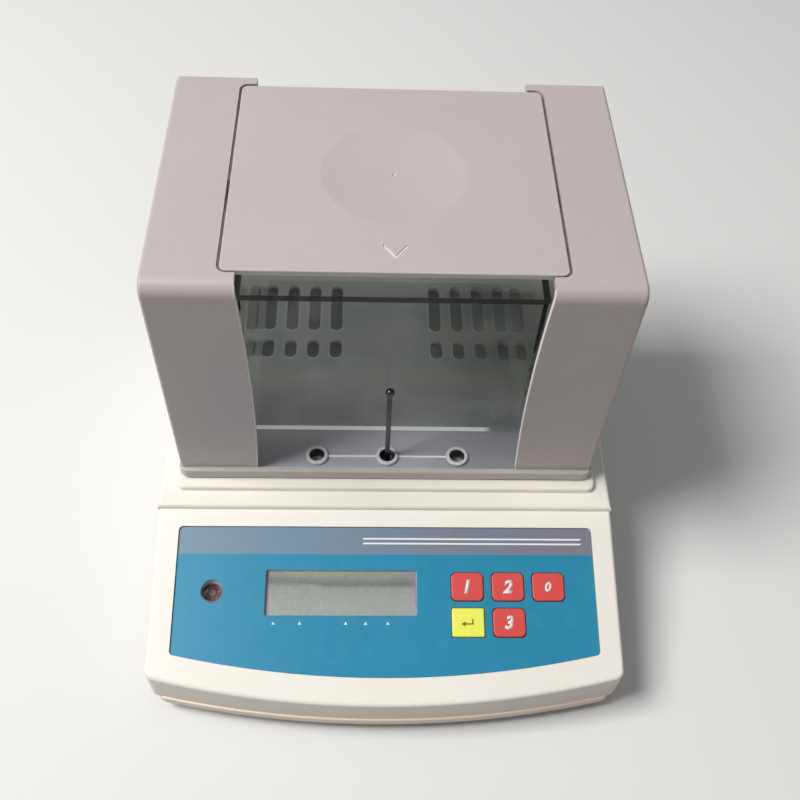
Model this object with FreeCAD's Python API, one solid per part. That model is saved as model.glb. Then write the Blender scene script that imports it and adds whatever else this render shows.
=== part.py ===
import FreeCAD, Part
import math
import os

# Benchtop density meter, in millimetres.
# X runs to the right, Y to the back and Z up, seen by the person at the keys.
# The origin is at the centre of the footprint, on the table.

Vector = FreeCAD.Vector
UP = Vector(0, 0, 1)
RIGHT = Vector(1, 0, 0)
BACK = Vector(0, 1, 0)

# Overrun of every cut, the reach of edge searches, and the clearances that the pieces share
CUT = 1.0
NEAR = 0.08
GAP = 0.3
REST_GAP = 0.1
RUNNING_GAP = 0.05

# Case: a wedge with a curved front, split near the bottom
CASE_WIDTH = 190.0
CASE_DEPTH = 211.4
CASE_WALL = 2.5
FRONT_RADIUS = 430.0
FRONT_CORNER = 4.0
REAR_CORNER = 6.0
CASE_EDGE = 1.5
GROUND_GAP = 7.0
LIP_HEIGHT = 4.0
LIP_PROUD = 0.8
LIP_SIDE_INSET = 2.5
LIP_CORNER = 5.0
LIP_EDGE = 0.7
FLOOR_WALL = 2.5
CASE_FLANGE = 6.0
CASE_FLANGE_HEIGHT = 2.0
DECK_HEIGHT = 47.9
DECK_STEP = 2.5
DECK_SETBACK = 76.4
PLINTH_RISE = 2.6
PLINTH_SIDE = 6.5
PLINTH_SETBACK = 83.9
PLINTH_REAR_MARGIN = 2.5
PLINTH_CORNER = 4.0
PLINTH_EDGE = 0.9

# Sloping panel, measured down the slope from its top edge
SLOPE = 14.75
PANEL_MARGIN = 7.4
PANEL_SIDE = 9.3
PANEL_LENGTH = 60.7
PANEL_RADIUS = 413.0
PANEL_CORNER = 2.0
POCKET_DEPTH = 1.4
OVERLAY_THICKNESS = 0.6
OVERLAY_GAP = 0.2

# Display
WINDOW_HEIGHT = 18.2
WINDOW_LEVEL_SPACE = 21.6
WINDOW_KEY_SPACE = 14.25
WINDOW_DOWN = 27.1
WINDOW_CORNER = 0.8
WINDOW_RECESS = 1.5
WINDOW_GAP = 0.15
GLASS_BORDER = 3.0
GLASS_THICKNESS = 2.2
LCD_FRAME_WALL = 1.6
BOARD_THICKNESS = 1.6
DISPLAY_BOARD_SIDE = 7.7
DISPLAY_BOARD_HEIGHT = 44.0
DISPLAY_BOARD_DOWN = 30.0
DISPLAY_BOARD_DEPTH = 11.0
BOARD_POST_RADIUS = 2.6
BOARD_POST_SIDE = 5.0
BOARD_POST_DOWN = 14.0

# Keys: three above, two below
KEY_WIDTH = 13.1
KEY_HEIGHT = 11.5
KEY_CORNER = 2.2
KEY_SQUARE_CORNER = 0.8
KEY_PITCH_X = 16.7
KEY_PITCH_DOWN = 14.5
KEY_SIDE = 12.75
KEY_FIRST_DOWN = 24.6
KEY_PROUD = 0.7
KEY_EDGE = 0.5
KEY_GAP = 0.3
KEY_TRAVEL = 0.5
KEY_FLANGE = 0.9
KEY_FLANGE_THICKNESS = 0.8
KEY_STEM_RADIUS = 1.7
KEY_STEM_GRIP = 2.0
SWITCH_WIDTH = 6.0
SWITCH_HEIGHT = 4.2

# Bull's-eye level, its axis upright
LEVEL_SIDE = 14.9
LEVEL_DOWN = 26.5
VIAL_RADIUS = 3.9
VIAL_HEIGHT = 4.5
VIAL_WALL = 0.6
LEVEL_CUP_WALL = 0.5
LEVEL_SINK = 2.4
LEVEL_CUP_FLOOR = 1.0
LEVEL_SEAT_WALL = 1.5
BUBBLE_RADIUS = 1.3
BUBBLE_HEIGHT = 0.5

# Hood over the tank chamber
HOOD_SETBACK = 90.4
HOOD_SIDE = 9.0
HOOD_REAR_SETBACK = 5.5
HOOD_HEIGHT = 108.4
HOOD_WALL = 2.2
HOOD_FRONT_EDGE = 5.5
HOOD_EDGE = 1.4
PILLAR_WIDTH = 32.0
DOORWAY_WAIST = 1.7
REAR_SILL_DROP = 8.0

# Weighing pan, flush with the top of the hood
PAN_SIDE = 26.5
PAN_REAR_SETBACK = 5.8
PAN_THICKNESS = 2.2
PAN_SETBACK = 8.3
PAN_CORNER = 2.6
PAN_EDGE = 0.5
PAN_GAP = 1.0
DISH_RADIUS = 27.0
DISH_DEPTH = 0.9
DIMPLE_RADIUS = 0.9
DIMPLE_DEPTH = 0.5
ARROW_WIDTH = 8.4
ARROW_LENGTH = 5.6
ARROW_LINE = 0.9
ARROW_DEPTH = 0.35
ARROW_SETBACK = 6.6
PAN_RING_GAP = 0.4
PAN_RING_WALL = 1.2
PAN_RING_DROP = 2.4

# Tray that carries the tank and the hood
TRAY_OVERHANG = 0.8
TRAY_FRONT = 2.0
TRAY_REAR = 1.5
TRAY_HEIGHT = 5.5
TRAY_WALL = 2.5
TRAY_CORNER = 4.0
TRAY_EDGE = 0.8
TRAY_FOOT_SET = 1.2
TRAY_FOOT_HEIGHT = 0.8
TRAY_SINK = 0.5
TRAY_RIM = 1.2
TRAY_FRONT_RIM = 0.1
SLOT_COUNT = 5
SLOT_POST_SPACE = 10.7
SLOT_FIRST_X = 23.1
SLOT_WIDTH = 5.4
SLOT_MIDDLE_SPACE = 2.25
SLOT_SHORT_LENGTH = 11.3
SLOT_ROW_SPACE = 5.0
SLOT_REAR_SETBACK = 11.0
SLOT_LIP = 0.7
SLOT_LIP_HEIGHT = 0.5
SOCKET_PITCH = 29.6
SOCKET_SETBACK = 6.1
SOCKET_RADIUS = 4.7
SOCKET_BORE = 3.3
SOCKET_SLEEVE = 4.0
SOCKET_RISE = 1.5
SOCKET_DEPTH = 6.0
SOCKET_EDGE = 0.5
RIB_WIDTH = 0.9
RIB_HEIGHT = 0.5
TAB_LENGTH = 14.0
TAB_THICKNESS = 2.5
TAB_HEIGHT = 5.0
TAB_FRONT = 27.0
TAB_REAR = 23.5
POST_COLLAR_WALL = 1.5
POST_COLLAR_HEIGHT = 2.5

# Water tank
TANK_SIDE = 27.5
TANK_FRONT = 19.4
TANK_REAR_SETBACK = 8.1
TANK_TOP_DROP = 26.9
TANK_WALL = 2.5
TANK_FLOOR = 3.0
TANK_CORNER = 2.0
TANK_PAD_RADIUS = 4.0
TANK_PAD_HEIGHT = 0.5
TANK_PAD_SIDE = 8.5
TANK_PAD_FRONT = 10.6
TANK_PAD_INNER_X = 11.5
TANK_PAD_REAR = 11.4

# Probe that stands in the middle socket
PROBE_RADIUS = 1.0
PROBE_HEIGHT = 45.0
PROBE_BALL = 1.8
PROBE_PLUG_HEIGHT = 2.6
PROBE_PLUG_EDGE = 0.4

# Load cell and what the pan stands on
CELL_WIDTH = 12.0
CELL_HEIGHT = 22.0
CELL_LENGTH = 80.0
CELL_REAR_SETBACK = 22.0
CELL_HOLE_RADIUS = 7.0
CELL_HOLE_SPACING = 16.0
CELL_END = 16.0
CELL_SCREW_PITCH = 8.0
CELL_SCREW_RADIUS = 2.0
CELL_SCREW_GRIP = 7.0
CELL_SCREW_RECESS = 1.3
CELL_SCREW_RECESS_GAP = 0.5
MOUNT_HEIGHT = 4.5
MOUNT_WIDTH = 24.0
CARRIER_STEP = 0.6
CARRIER_THICKNESS = 3.0
CARRIER_ARM_WIDTH = 12.0
CARRIER_SPINE_WIDTH = 20.0
WEIGH_TRAVEL = 0.4
POST_RADIUS = 2.5
POST_SIDE = 11.0
POST_HOLE = 4.5
POST_TAIL = 3.6
NUT_SIDES = 6
NUT_RADIUS = 4.6
NUT_HEIGHT = 3.0
BRACKET_DROP = 10.4
BRACKET_THICKNESS = 4.0
BRACKET_END = 5.5
HOOK_HOLE = 1.9
RAIL_SIDE = 11.5
RAIL_WIDTH = 8.0
RAIL_HEIGHT = 3.0
RAIL_SETBACK = 16.7
PAD_RADIUS = 4.0
PAD_SETBACK = 20.7
STOP_BOSS_HEIGHT = 2.5
STOP_BOSS_RADIUS = 4.5

# Screws, bosses and boards in the case
SCREW_RADIUS = 1.5
SCREW_HEAD_RADIUS = 2.9
SCREW_HEAD_HEIGHT = 2.0
SCREW_LENGTH = 12.0
SCREW_RECESS = 3.0
BOSS_RADIUS = 4.2
BOSS_HEIGHT = 7.0
CASE_SCREW_SIDE = 11.0
CASE_SCREW_FRONT = 19.0
CASE_SCREW_REAR = 12.0
TRAY_SCREW_SIDE = 6.0
TRAY_SCREW_FRONT = 14.0
TRAY_SCREW_REAR = 18.5
TRAY_SCREW_LENGTH = 7.0
TRAY_BOSS_RADIUS = 3.4
TRAY_SCREW_ROOF = 1.5
MAIN_BOARD_SIZE = (44.0, 78.0)
MAIN_BOARD_X = 40.0
MAIN_BOARD_SETBACK = 71.0
MAIN_BOARD_RISE = 4.0
CHIP_SIZE = (14.0, 14.0, 1.8)
CAPACITOR_RADIUS = 4.0
CAPACITOR_HEIGHT = 11.0
CAPACITOR_PLACE = 19.5
SOCKET_BLOCK = (20.0, 5.0, 7.0)
BOARD_SCREW_LENGTH = 6.0
BOARD_SCREW_INSET = 4.0
RIBBON_WIDTH = 16.0
RIBBON_THICKNESS = 0.6
RIBBON_SAG = 6.0
RIBBON_END = 4.0
RIBBON_SOCKET_HEIGHT = 3.0

# Levelling feet
FOOT_SIDE = 25.0
FOOT_FRONT = 31.0
FOOT_REAR = 22.0
FOOT_PAD_RADIUS = 9.0
FOOT_PAD_HEIGHT = 2.6
FOOT_PAD_EDGE = 0.6
FOOT_KNOB_RADIUS = 8.4
FOOT_KNOB_GAP = 0.9
KNURL_COUNT = 24
KNURL_RADIUS = 0.7
FOOT_PIVOT_RADIUS = 2.2
FOOT_PIVOT_DEPTH = 1.4
FOOT_STUD_RADIUS = 2.5
FOOT_STUD_HEIGHT = 9.1
INSERT_RADIUS = 4.0
INSERT_HEIGHT = 6.0
INSERT_BOSS_WALL = 2.0

# Inlet and switch on the rear wall
REAR_PARTS_RISE = 16.0
JACK_X = -38.0
JACK_SIZE = (11.0, 12.0, 11.0)
JACK_BORE = 2.8
JACK_BORE_DEPTH = 9.0
JACK_PIN = 1.0
JACK_PIN_SHORT = 1.0
ROCKER_X = 38.0
ROCKER_WIDTH = 11.0
ROCKER_RADIUS = 7.6
ROCKER_TILT = 8.0
ROCKER_GAP = 0.25
ROCKER_SINK = 5.2
ROCKER_PIN = 1.0
ROCKER_PIN_GRIP = 0.7
SWITCH_BODY_WALL = 1.4
SWITCH_BODY_DEPTH = 15.0

# Places worked out from the sizes above
REAR_Y = (CASE_DEPTH + LIP_PROUD) / 2
FRONT_Y = REAR_Y - CASE_DEPTH
CASE_SEAM_Z = GROUND_GAP + LIP_HEIGHT
FLOOR_TOP_Z = GROUND_GAP + FLOOR_WALL
DECK_Z = DECK_HEIGHT
DECK_Y = FRONT_Y + DECK_SETBACK
SLOPE_RADIANS = math.radians(SLOPE)
SLOPE_SINE = math.sin(SLOPE_RADIANS)
SLOPE_COSINE = math.cos(SLOPE_RADIANS)
SLOPE_TANGENT = math.tan(SLOPE_RADIANS)
PLINTH_WIDTH = CASE_WIDTH - 2 * PLINTH_SIDE
CASE_SCREW_X = CASE_WIDTH / 2 - CASE_SCREW_SIDE
FOOT_X = CASE_WIDTH / 2 - FOOT_SIDE
PANEL_WIDTH = CASE_WIDTH - 2 * PANEL_SIDE
PANEL_Y = DECK_Y - PANEL_MARGIN * SLOPE_COSINE
PANEL_Z = DECK_Z - DECK_STEP - PANEL_MARGIN * SLOPE_SINE
KEY_TOP = OVERLAY_THICKNESS - POCKET_DEPTH + KEY_PROUD
LEVEL_X = LEVEL_SIDE - PANEL_WIDTH / 2
KEY_FIRST_X = PANEL_WIDTH / 2 - KEY_SIDE - KEY_WIDTH / 2 - 2 * KEY_PITCH_X
WINDOW_LEFT = LEVEL_X + WINDOW_LEVEL_SPACE
WINDOW_RIGHT = KEY_FIRST_X - KEY_WIDTH / 2 - WINDOW_KEY_SPACE
WINDOW_WIDTH = WINDOW_RIGHT - WINDOW_LEFT
WINDOW_X = (WINDOW_LEFT + WINDOW_RIGHT) / 2
DISPLAY_BOARD_WIDTH = PANEL_WIDTH - 2 * DISPLAY_BOARD_SIDE
BOARD_POST_X = DISPLAY_BOARD_WIDTH / 2 - BOARD_POST_SIDE
PLINTH_Z = DECK_Z + PLINTH_RISE
HOOD_WIDTH = CASE_WIDTH - 2 * HOOD_SIDE
HOOD_DEPTH = CASE_DEPTH - HOOD_SETBACK - HOOD_REAR_SETBACK
DOORWAY_WIDTH = HOOD_WIDTH - 2 * PILLAR_WIDTH
POST_X = HOOD_WIDTH / 2 - POST_SIDE
HOOD_Y = FRONT_Y + HOOD_SETBACK
HOOD_REAR_Y = HOOD_Y + HOOD_DEPTH
SEAM_Z = PLINTH_Z + TRAY_HEIGHT
TRAY_FLOOR_Z = SEAM_Z - TRAY_SINK
TOP_Z = SEAM_Z + HOOD_HEIGHT
SLOT_PITCH = (POST_X - SLOT_POST_SPACE - SLOT_FIRST_X) / (SLOT_COUNT - 1)
SLOT_SHORT_START = HOOD_DEPTH / 2 + SLOT_MIDDLE_SPACE
SLOT_SHORT_END = SLOT_SHORT_START + SLOT_SHORT_LENGTH
SLOT_SPANS = ((SLOT_SHORT_START, SLOT_SHORT_END),
              (SLOT_SHORT_END + SLOT_ROW_SPACE, HOOD_DEPTH - SLOT_REAR_SETBACK))
TAB_PLACES = (TAB_FRONT, HOOD_DEPTH - TAB_REAR)
TRAY_SCREW_X = HOOD_WIDTH / 2 - TRAY_SCREW_SIDE
TRAY_SCREW_PLACES = (TRAY_SCREW_FRONT, HOOD_DEPTH - TRAY_SCREW_REAR)
PAN_WIDTH = HOOD_WIDTH - 2 * PAN_SIDE
PAN_DEPTH = HOOD_DEPTH - PAN_SETBACK - PAN_REAR_SETBACK
PAN_BOTTOM_Z = TOP_Z - PAN_THICKNESS
PAN_FRONT_Y = HOOD_Y + PAN_SETBACK
PAN_Y = PAN_FRONT_Y + PAN_DEPTH / 2
BRACKET_Z = PAN_BOTTOM_Z - BRACKET_DROP - BRACKET_THICKNESS + PAN_THICKNESS
BRACKET_TOP_Z = BRACKET_Z + BRACKET_THICKNESS
RAIL_TOP_Z = BRACKET_TOP_Z + RAIL_HEIGHT
RAIL_X = PAN_WIDTH / 2 - RAIL_SIDE
RAIL_LENGTH = PAN_DEPTH - 2 * RAIL_SETBACK
PAD_SPAN = PAN_DEPTH - 2 * PAD_SETBACK
CELL_Z = FLOOR_TOP_Z + MOUNT_HEIGHT
CELL_TOP_Z = CELL_Z + CELL_HEIGHT
CELL_REAR_Y = REAR_Y - CELL_REAR_SETBACK
CELL_FRONT_Y = CELL_REAR_Y - CELL_LENGTH
CELL_Y = (CELL_FRONT_Y + CELL_REAR_Y) / 2
CARRIER_Z = CELL_TOP_Z + CARRIER_STEP
CARRIER_TOP_Z = CARRIER_Z + CARRIER_THICKNESS
TANK_WIDTH = HOOD_WIDTH - 2 * TANK_SIDE
TANK_DEPTH = HOOD_DEPTH - TANK_FRONT - TANK_REAR_SETBACK
TANK_PAD_ROWS = (TANK_FRONT + TANK_PAD_FRONT, TANK_FRONT + TANK_DEPTH - TANK_PAD_REAR)
TANK_PAD_PLACES = ((TANK_WIDTH / 2 - TANK_PAD_SIDE, TANK_PAD_ROWS[0]), (TANK_PAD_INNER_X, TANK_PAD_ROWS[1]))
TANK_Y = HOOD_Y + TANK_FRONT
TANK_Z = TRAY_FLOOR_Z + TANK_PAD_HEIGHT
TANK_TOP_Z = TOP_Z - TANK_TOP_DROP
SOCKET_Y = HOOD_Y + SOCKET_SETBACK
SOCKET_TOP_Z = TRAY_FLOOR_Z + SOCKET_RISE
REAR_PARTS_Z = CASE_SEAM_Z + REAR_PARTS_RISE
MAIN_BOARD_Y = REAR_Y - MAIN_BOARD_SETBACK
DISPLAY_BOARD_TOP = -DISPLAY_BOARD_DEPTH
KEYS = (
    ("key_a", 0, 0, KEY_CORNER),
    ("key_b", 1, 0, KEY_CORNER),
    ("key_zero", 2, 0, KEY_CORNER),
    ("key_enter", 0, 1, KEY_SQUARE_CORNER),
    ("key_c", 1, 1, KEY_CORNER),
)


def box(x_span, y_span, z_span):
    """Box between two X, two Y and two Z values."""
    size = [span[1] - span[0] for span in (x_span, y_span, z_span)]
    return Part.makeBox(size[0], size[1], size[2], Vector(x_span[0], y_span[0], z_span[0]))


def about(middle, width):
    """Span of a width around its middle."""
    return (middle - width / 2, middle + width / 2)


def grown(span, margin):
    """Span made longer by a margin at both ends."""
    return (span[0] - margin, span[1] + margin)


def rod(radius, x, y, z_span):
    """Upright cylinder."""
    return Part.makeCylinder(radius, z_span[1] - z_span[0], Vector(x, y, z_span[0]), UP)


def running_hole(radius, x, y, z_span):
    """Tool for an upright hole that a rod of the radius runs in."""
    return rod(radius + RUNNING_GAP, x, y, z_span)


def lying_rod(radius, start, length, axis):
    """Cylinder along any axis."""
    return Part.makeCylinder(radius, length, start, axis)


def fuse(*shapes):
    """One solid out of several that touch or overlap."""
    return shapes[0].multiFuse(list(shapes[1:])).removeSplitter()


def cut(shape, *tools):
    """Shape without the tools."""
    return shape.cut(Part.makeCompound(list(tools)))


def edges_where(shape, test):
    """Edges whose bounding box passes a test."""
    return [edge for edge in shape.Edges if test(edge.BoundBox)]


def rounded_prism(x_span, y_span, z_span, radius):
    """Box with its upright corners rounded."""
    block = box(x_span, y_span, z_span)
    height = z_span[1] - z_span[0]
    limit = height / 2
    return block.makeFillet(radius, edges_where(block, lambda b: b.ZLength > limit and b.XLength < radius))


def soften_top(shape, radius):
    """Shape with the edges of its highest face rounded."""
    top = shape.BoundBox.ZMax
    return shape.makeFillet(radius, edges_where(shape, lambda b: b.ZMin > top - NEAR))


def prism_from_yz(points, x_span):
    """Outline in Y and Z, extruded along X."""
    corners = [Vector(x_span[0], y, z) for y, z in points]
    wire = Part.makePolygon(corners + corners[:1])
    return Part.Face(wire).extrude(Vector(x_span[1] - x_span[0], 0, 0))


def sagitta(radius, half_chord):
    """Height of an arc over its chord."""
    return radius - math.sqrt(radius ** 2 - half_chord ** 2)


def bowed_prism(half_width, front, rear, radius, z_span, corners):
    """Plan with a bowed front edge, extruded upwards; corners gives the front and rear radius."""
    z = z_span[0]
    side = front + sagitta(radius, half_width)
    left, right = Vector(-half_width, side, z), Vector(half_width, side, z)
    rear_left, rear_right = Vector(-half_width, rear, z), Vector(half_width, rear, z)
    bow = Part.Arc(left, Vector(0, front, z), right).toShape()
    corner_pairs = ((right, rear_right), (rear_right, rear_left), (rear_left, left))
    lines = [Part.makeLine(start, end) for start, end in corner_pairs]
    block = Part.Face(Part.Wire([bow] + lines)).extrude(Vector(0, 0, z_span[1] - z))
    middle = (side + rear) / 2
    limit = (z_span[1] - z) / 2
    fronts = edges_where(block, lambda b: b.ZLength > limit and b.YMax < middle)
    block = block.makeFillet(corners[0], fronts)
    rears = edges_where(block, lambda b: b.ZLength > limit and b.YMin > middle and b.XLength < corners[1])
    return block.makeFillet(corners[1], rears)


def on_panel(shape):
    """Shape drawn on a flat panel, moved on to the slope; Y runs up the slope, Z out of it."""
    turn = FreeCAD.Rotation(RIGHT, SLOPE)
    moved = shape.copy()
    moved.Placement = FreeCAD.Placement(Vector(0, PANEL_Y, PANEL_Z), turn).multiply(shape.Placement)
    return moved


def slope_z(y, drop):
    """Height of a plane that lies a drop below the panel's surface."""
    return PANEL_Z + (y - PANEL_Y) * SLOPE_TANGENT - drop / SLOPE_COSINE


def key_place(column, row):
    """Middle of a key, across and up the slope."""
    return KEY_FIRST_X + column * KEY_PITCH_X, -(KEY_FIRST_DOWN + row * KEY_PITCH_DOWN)


def key_prism(place, margin, span, corner):
    """Prism of a key's outline, larger by a margin all round."""
    x_span = about(place[0], KEY_WIDTH + 2 * margin)
    y_span = about(place[1], KEY_HEIGHT + 2 * margin)
    return rounded_prism(x_span, y_span, span, corner)


def window_prism(margin, span):
    """Prism of the display window, larger by a margin all round."""
    x_span = about(WINDOW_X, WINDOW_WIDTH + 2 * margin)
    y_span = about(-WINDOW_DOWN, WINDOW_HEIGHT + 2 * margin)
    return rounded_prism(x_span, y_span, span, WINDOW_CORNER)


def panel_prism(margin, span):
    """Prism of the printed panel with its bowed lower edge."""
    return bowed_prism(PANEL_WIDTH / 2 + margin, -PANEL_LENGTH - margin, margin, PANEL_RADIUS + margin, span,
                       (PANEL_CORNER, PANEL_CORNER))


def level_middle():
    """Middle of the level at the height of the panel's surface."""
    y = PANEL_Y - LEVEL_DOWN * SLOPE_COSINE
    return y, slope_z(y, 0)


def case_screw_places():
    """Middles of the four screws that close the case."""
    ys = (FRONT_Y + CASE_SCREW_FRONT, REAR_Y - CASE_SCREW_REAR)
    return [(side * CASE_SCREW_X, y) for side in (-1, 1) for y in ys]


def tray_screw_places():
    """Middles of the four screws that hold the tray."""
    return [(side * TRAY_SCREW_X, HOOD_Y + place) for side in (-1, 1) for place in TRAY_SCREW_PLACES]


def foot_places():
    """Name and middle of each foot."""
    rows = (("front", FRONT_Y + FOOT_FRONT), ("rear", REAR_Y - FOOT_REAR))
    sides = (("left", -FOOT_X), ("right", FOOT_X))
    return [(row + "_" + side, x, y) for row, y in rows for side, x in sides]


def main_board_screw_places():
    """Middles of the screws and posts of the main board."""
    across = MAIN_BOARD_SIZE[0] / 2 - BOARD_SCREW_INSET
    along = MAIN_BOARD_SIZE[1] / 2 - BOARD_SCREW_INSET
    return [(MAIN_BOARD_X + a * across, MAIN_BOARD_Y + b * along) for a in (-1, 1) for b in (-1, 1)]


def under_roof(z):
    """Side view of the space under the case's roof, above a level."""
    roof = DECK_Z - CASE_WALL
    bend = PANEL_Y + (roof - PANEL_Z + CASE_WALL / SLOPE_COSINE) / SLOPE_TANGENT
    front = FRONT_Y - CUT
    rear = REAR_Y + CUT
    return [(rear, z), (rear, roof), (bend, roof), (front, slope_z(front, CASE_WALL)), (front, z)]


def case_outside():
    """Outside of the upper case: a rear block and a sloping front, each with softened edges."""
    plan = case_plan(0, (CASE_SEAM_Z, DECK_Z))
    across = about(0, CASE_WIDTH + 2 * CUT)
    tall = (CASE_SEAM_Z - CUT, DECK_Z + CUT)
    block = soften_top(plan.common(box(across, (DECK_Y, REAR_Y + CUT), tall)), CASE_EDGE)
    overlap = DECK_Y + DECK_STEP
    points = [(overlap, CASE_SEAM_Z), (overlap, slope_z(overlap, 0))]
    points += [(FRONT_Y - CUT, slope_z(FRONT_Y - CUT, 0)), (FRONT_Y - CUT, CASE_SEAM_Z)]
    wedge = plan.common(prism_from_yz(points, across))
    rim = edges_where(wedge, lambda b: b.ZMin > CASE_SEAM_Z + NEAR and b.YMin < overlap - NEAR
                      and abs(b.ZMax - slope_z(b.YMax, 0)) < NEAR)
    return fuse(block, wedge.makeFillet(CASE_EDGE, rim))


def case_plan(inset, z_span):
    """Plan of the upper case, smaller by an inset."""
    half = CASE_WIDTH / 2 - inset
    corners = (max(FRONT_CORNER - inset, CASE_EDGE), max(REAR_CORNER - inset, CASE_EDGE))
    return bowed_prism(half, FRONT_Y + inset, REAR_Y - inset, FRONT_RADIUS, z_span, corners)


def case_inside():
    """Hollow of the upper case, narrower at the bottom where the flange meets the lower case."""
    flange_top = CASE_SEAM_Z + CASE_FLANGE_HEIGHT
    hollow = case_plan(CASE_WALL, (flange_top, DECK_Z))
    profile = prism_from_yz(under_roof(CASE_SEAM_Z - CUT), (-CASE_WIDTH, CASE_WIDTH))
    mouth = case_plan(CASE_FLANGE, (CASE_SEAM_Z - CUT, flange_top + CUT))
    return fuse(hollow.common(profile), mouth)


def plinth():
    """Raised base of the tower on the case."""
    y_span = (FRONT_Y + PLINTH_SETBACK, REAR_Y - PLINTH_REAR_MARGIN)
    block = rounded_prism(about(0, PLINTH_WIDTH), y_span, (DECK_Z - CASE_WALL, PLINTH_Z), PLINTH_CORNER)
    return soften_top(block, PLINTH_EDGE)


def top_boss(x, y, roof):
    """Boss of a case screw, from just above the lower case up to the roof."""
    return rod(BOSS_RADIUS, x, y, (GROUND_GAP + BOSS_HEIGHT + REST_GAP, roof))


def board_post(x, down):
    """Post under the panel that carries the display board."""
    return rod(BOARD_POST_RADIUS, x, -down, (DISPLAY_BOARD_TOP, -POCKET_DEPTH))


def display_post_places():
    """Middles of the display board's posts, across and down the slope."""
    return [(side * BOARD_POST_X, down) for side in (-1, 1)
            for down in (BOARD_POST_DOWN, 2 * DISPLAY_BOARD_DOWN - BOARD_POST_DOWN)]


def top_case_cuts():
    """Everything that is cut out of the upper case."""
    tools = [on_panel(panel_prism(OVERLAY_GAP, (-POCKET_DEPTH, CUT)))]
    tools.append(on_panel(window_prism(WINDOW_GAP, (-CASE_WALL - CUT, CUT))))
    for name, column, row, corner in KEYS:
        hole = key_prism(key_place(column, row), KEY_GAP, (-CASE_WALL - CUT, CUT), corner)
        tools.append(on_panel(hole))
    tools.append(level_hole((level_cup_bottom(), DECK_Z)))
    for side in (-1, 1):
        tools.append(rod(POST_HOLE, side * POST_X, PAN_Y, (DECK_Z - CASE_WALL - CUT, PLINTH_Z + CUT)))
    for x, y in tray_screw_places():
        tools.append(running_hole(SCREW_RADIUS, x, y, (DECK_Z - CASE_WALL - CUT, PLINTH_Z + CUT)))
    for x, y in case_screw_places():
        pilot_top = GROUND_GAP + SCREW_RECESS + SCREW_LENGTH + REST_GAP
        tools.append(running_hole(SCREW_RADIUS, x, y, (GROUND_GAP, pilot_top)))
    for x, down in display_post_places():
        pilot = (DISPLAY_BOARD_TOP - CUT, DISPLAY_BOARD_TOP + BOARD_SCREW_LENGTH)
        tools.append(on_panel(running_hole(SCREW_RADIUS, x, -down, pilot)))
    wall = (REAR_Y - CASE_WALL - CUT, REAR_Y + CUT)
    jack_z = about(REAR_PARTS_Z, JACK_SIZE[2] + 2 * RUNNING_GAP)
    tools.append(box(about(JACK_X, JACK_SIZE[0] + 2 * RUNNING_GAP), wall, jack_z))
    switch_x, switch_z = switch_spans(RUNNING_GAP)
    tools.append(box(switch_x, wall, switch_z))
    return tools


def top_case():
    """Upper case: wedge shell with the plinth, bosses and openings."""
    shell = fuse(cut(case_outside(), case_inside()), plinth())
    parts = [shell]
    for x, y in case_screw_places():
        roof = min(slope_z(y, CASE_WALL), DECK_Z - CASE_WALL) + CASE_WALL / 2
        parts.append(top_boss(x, y, roof))
    for x, down in display_post_places():
        parts.append(on_panel(board_post(x, down)))
    return cut(fuse(*parts, level_seat()), *top_case_cuts())


def lip_plan(inset, z_span):
    """Plan of the lower case, seen below the upper one."""
    half = CASE_WIDTH / 2 - LIP_SIDE_INSET - inset
    corner = max(LIP_CORNER - inset, CASE_EDGE)
    front = FRONT_Y - LIP_PROUD + inset
    rear = REAR_Y - LIP_SIDE_INSET - inset
    return bowed_prism(half, front, rear, FRONT_RADIUS, z_span, (corner, corner))


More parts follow.
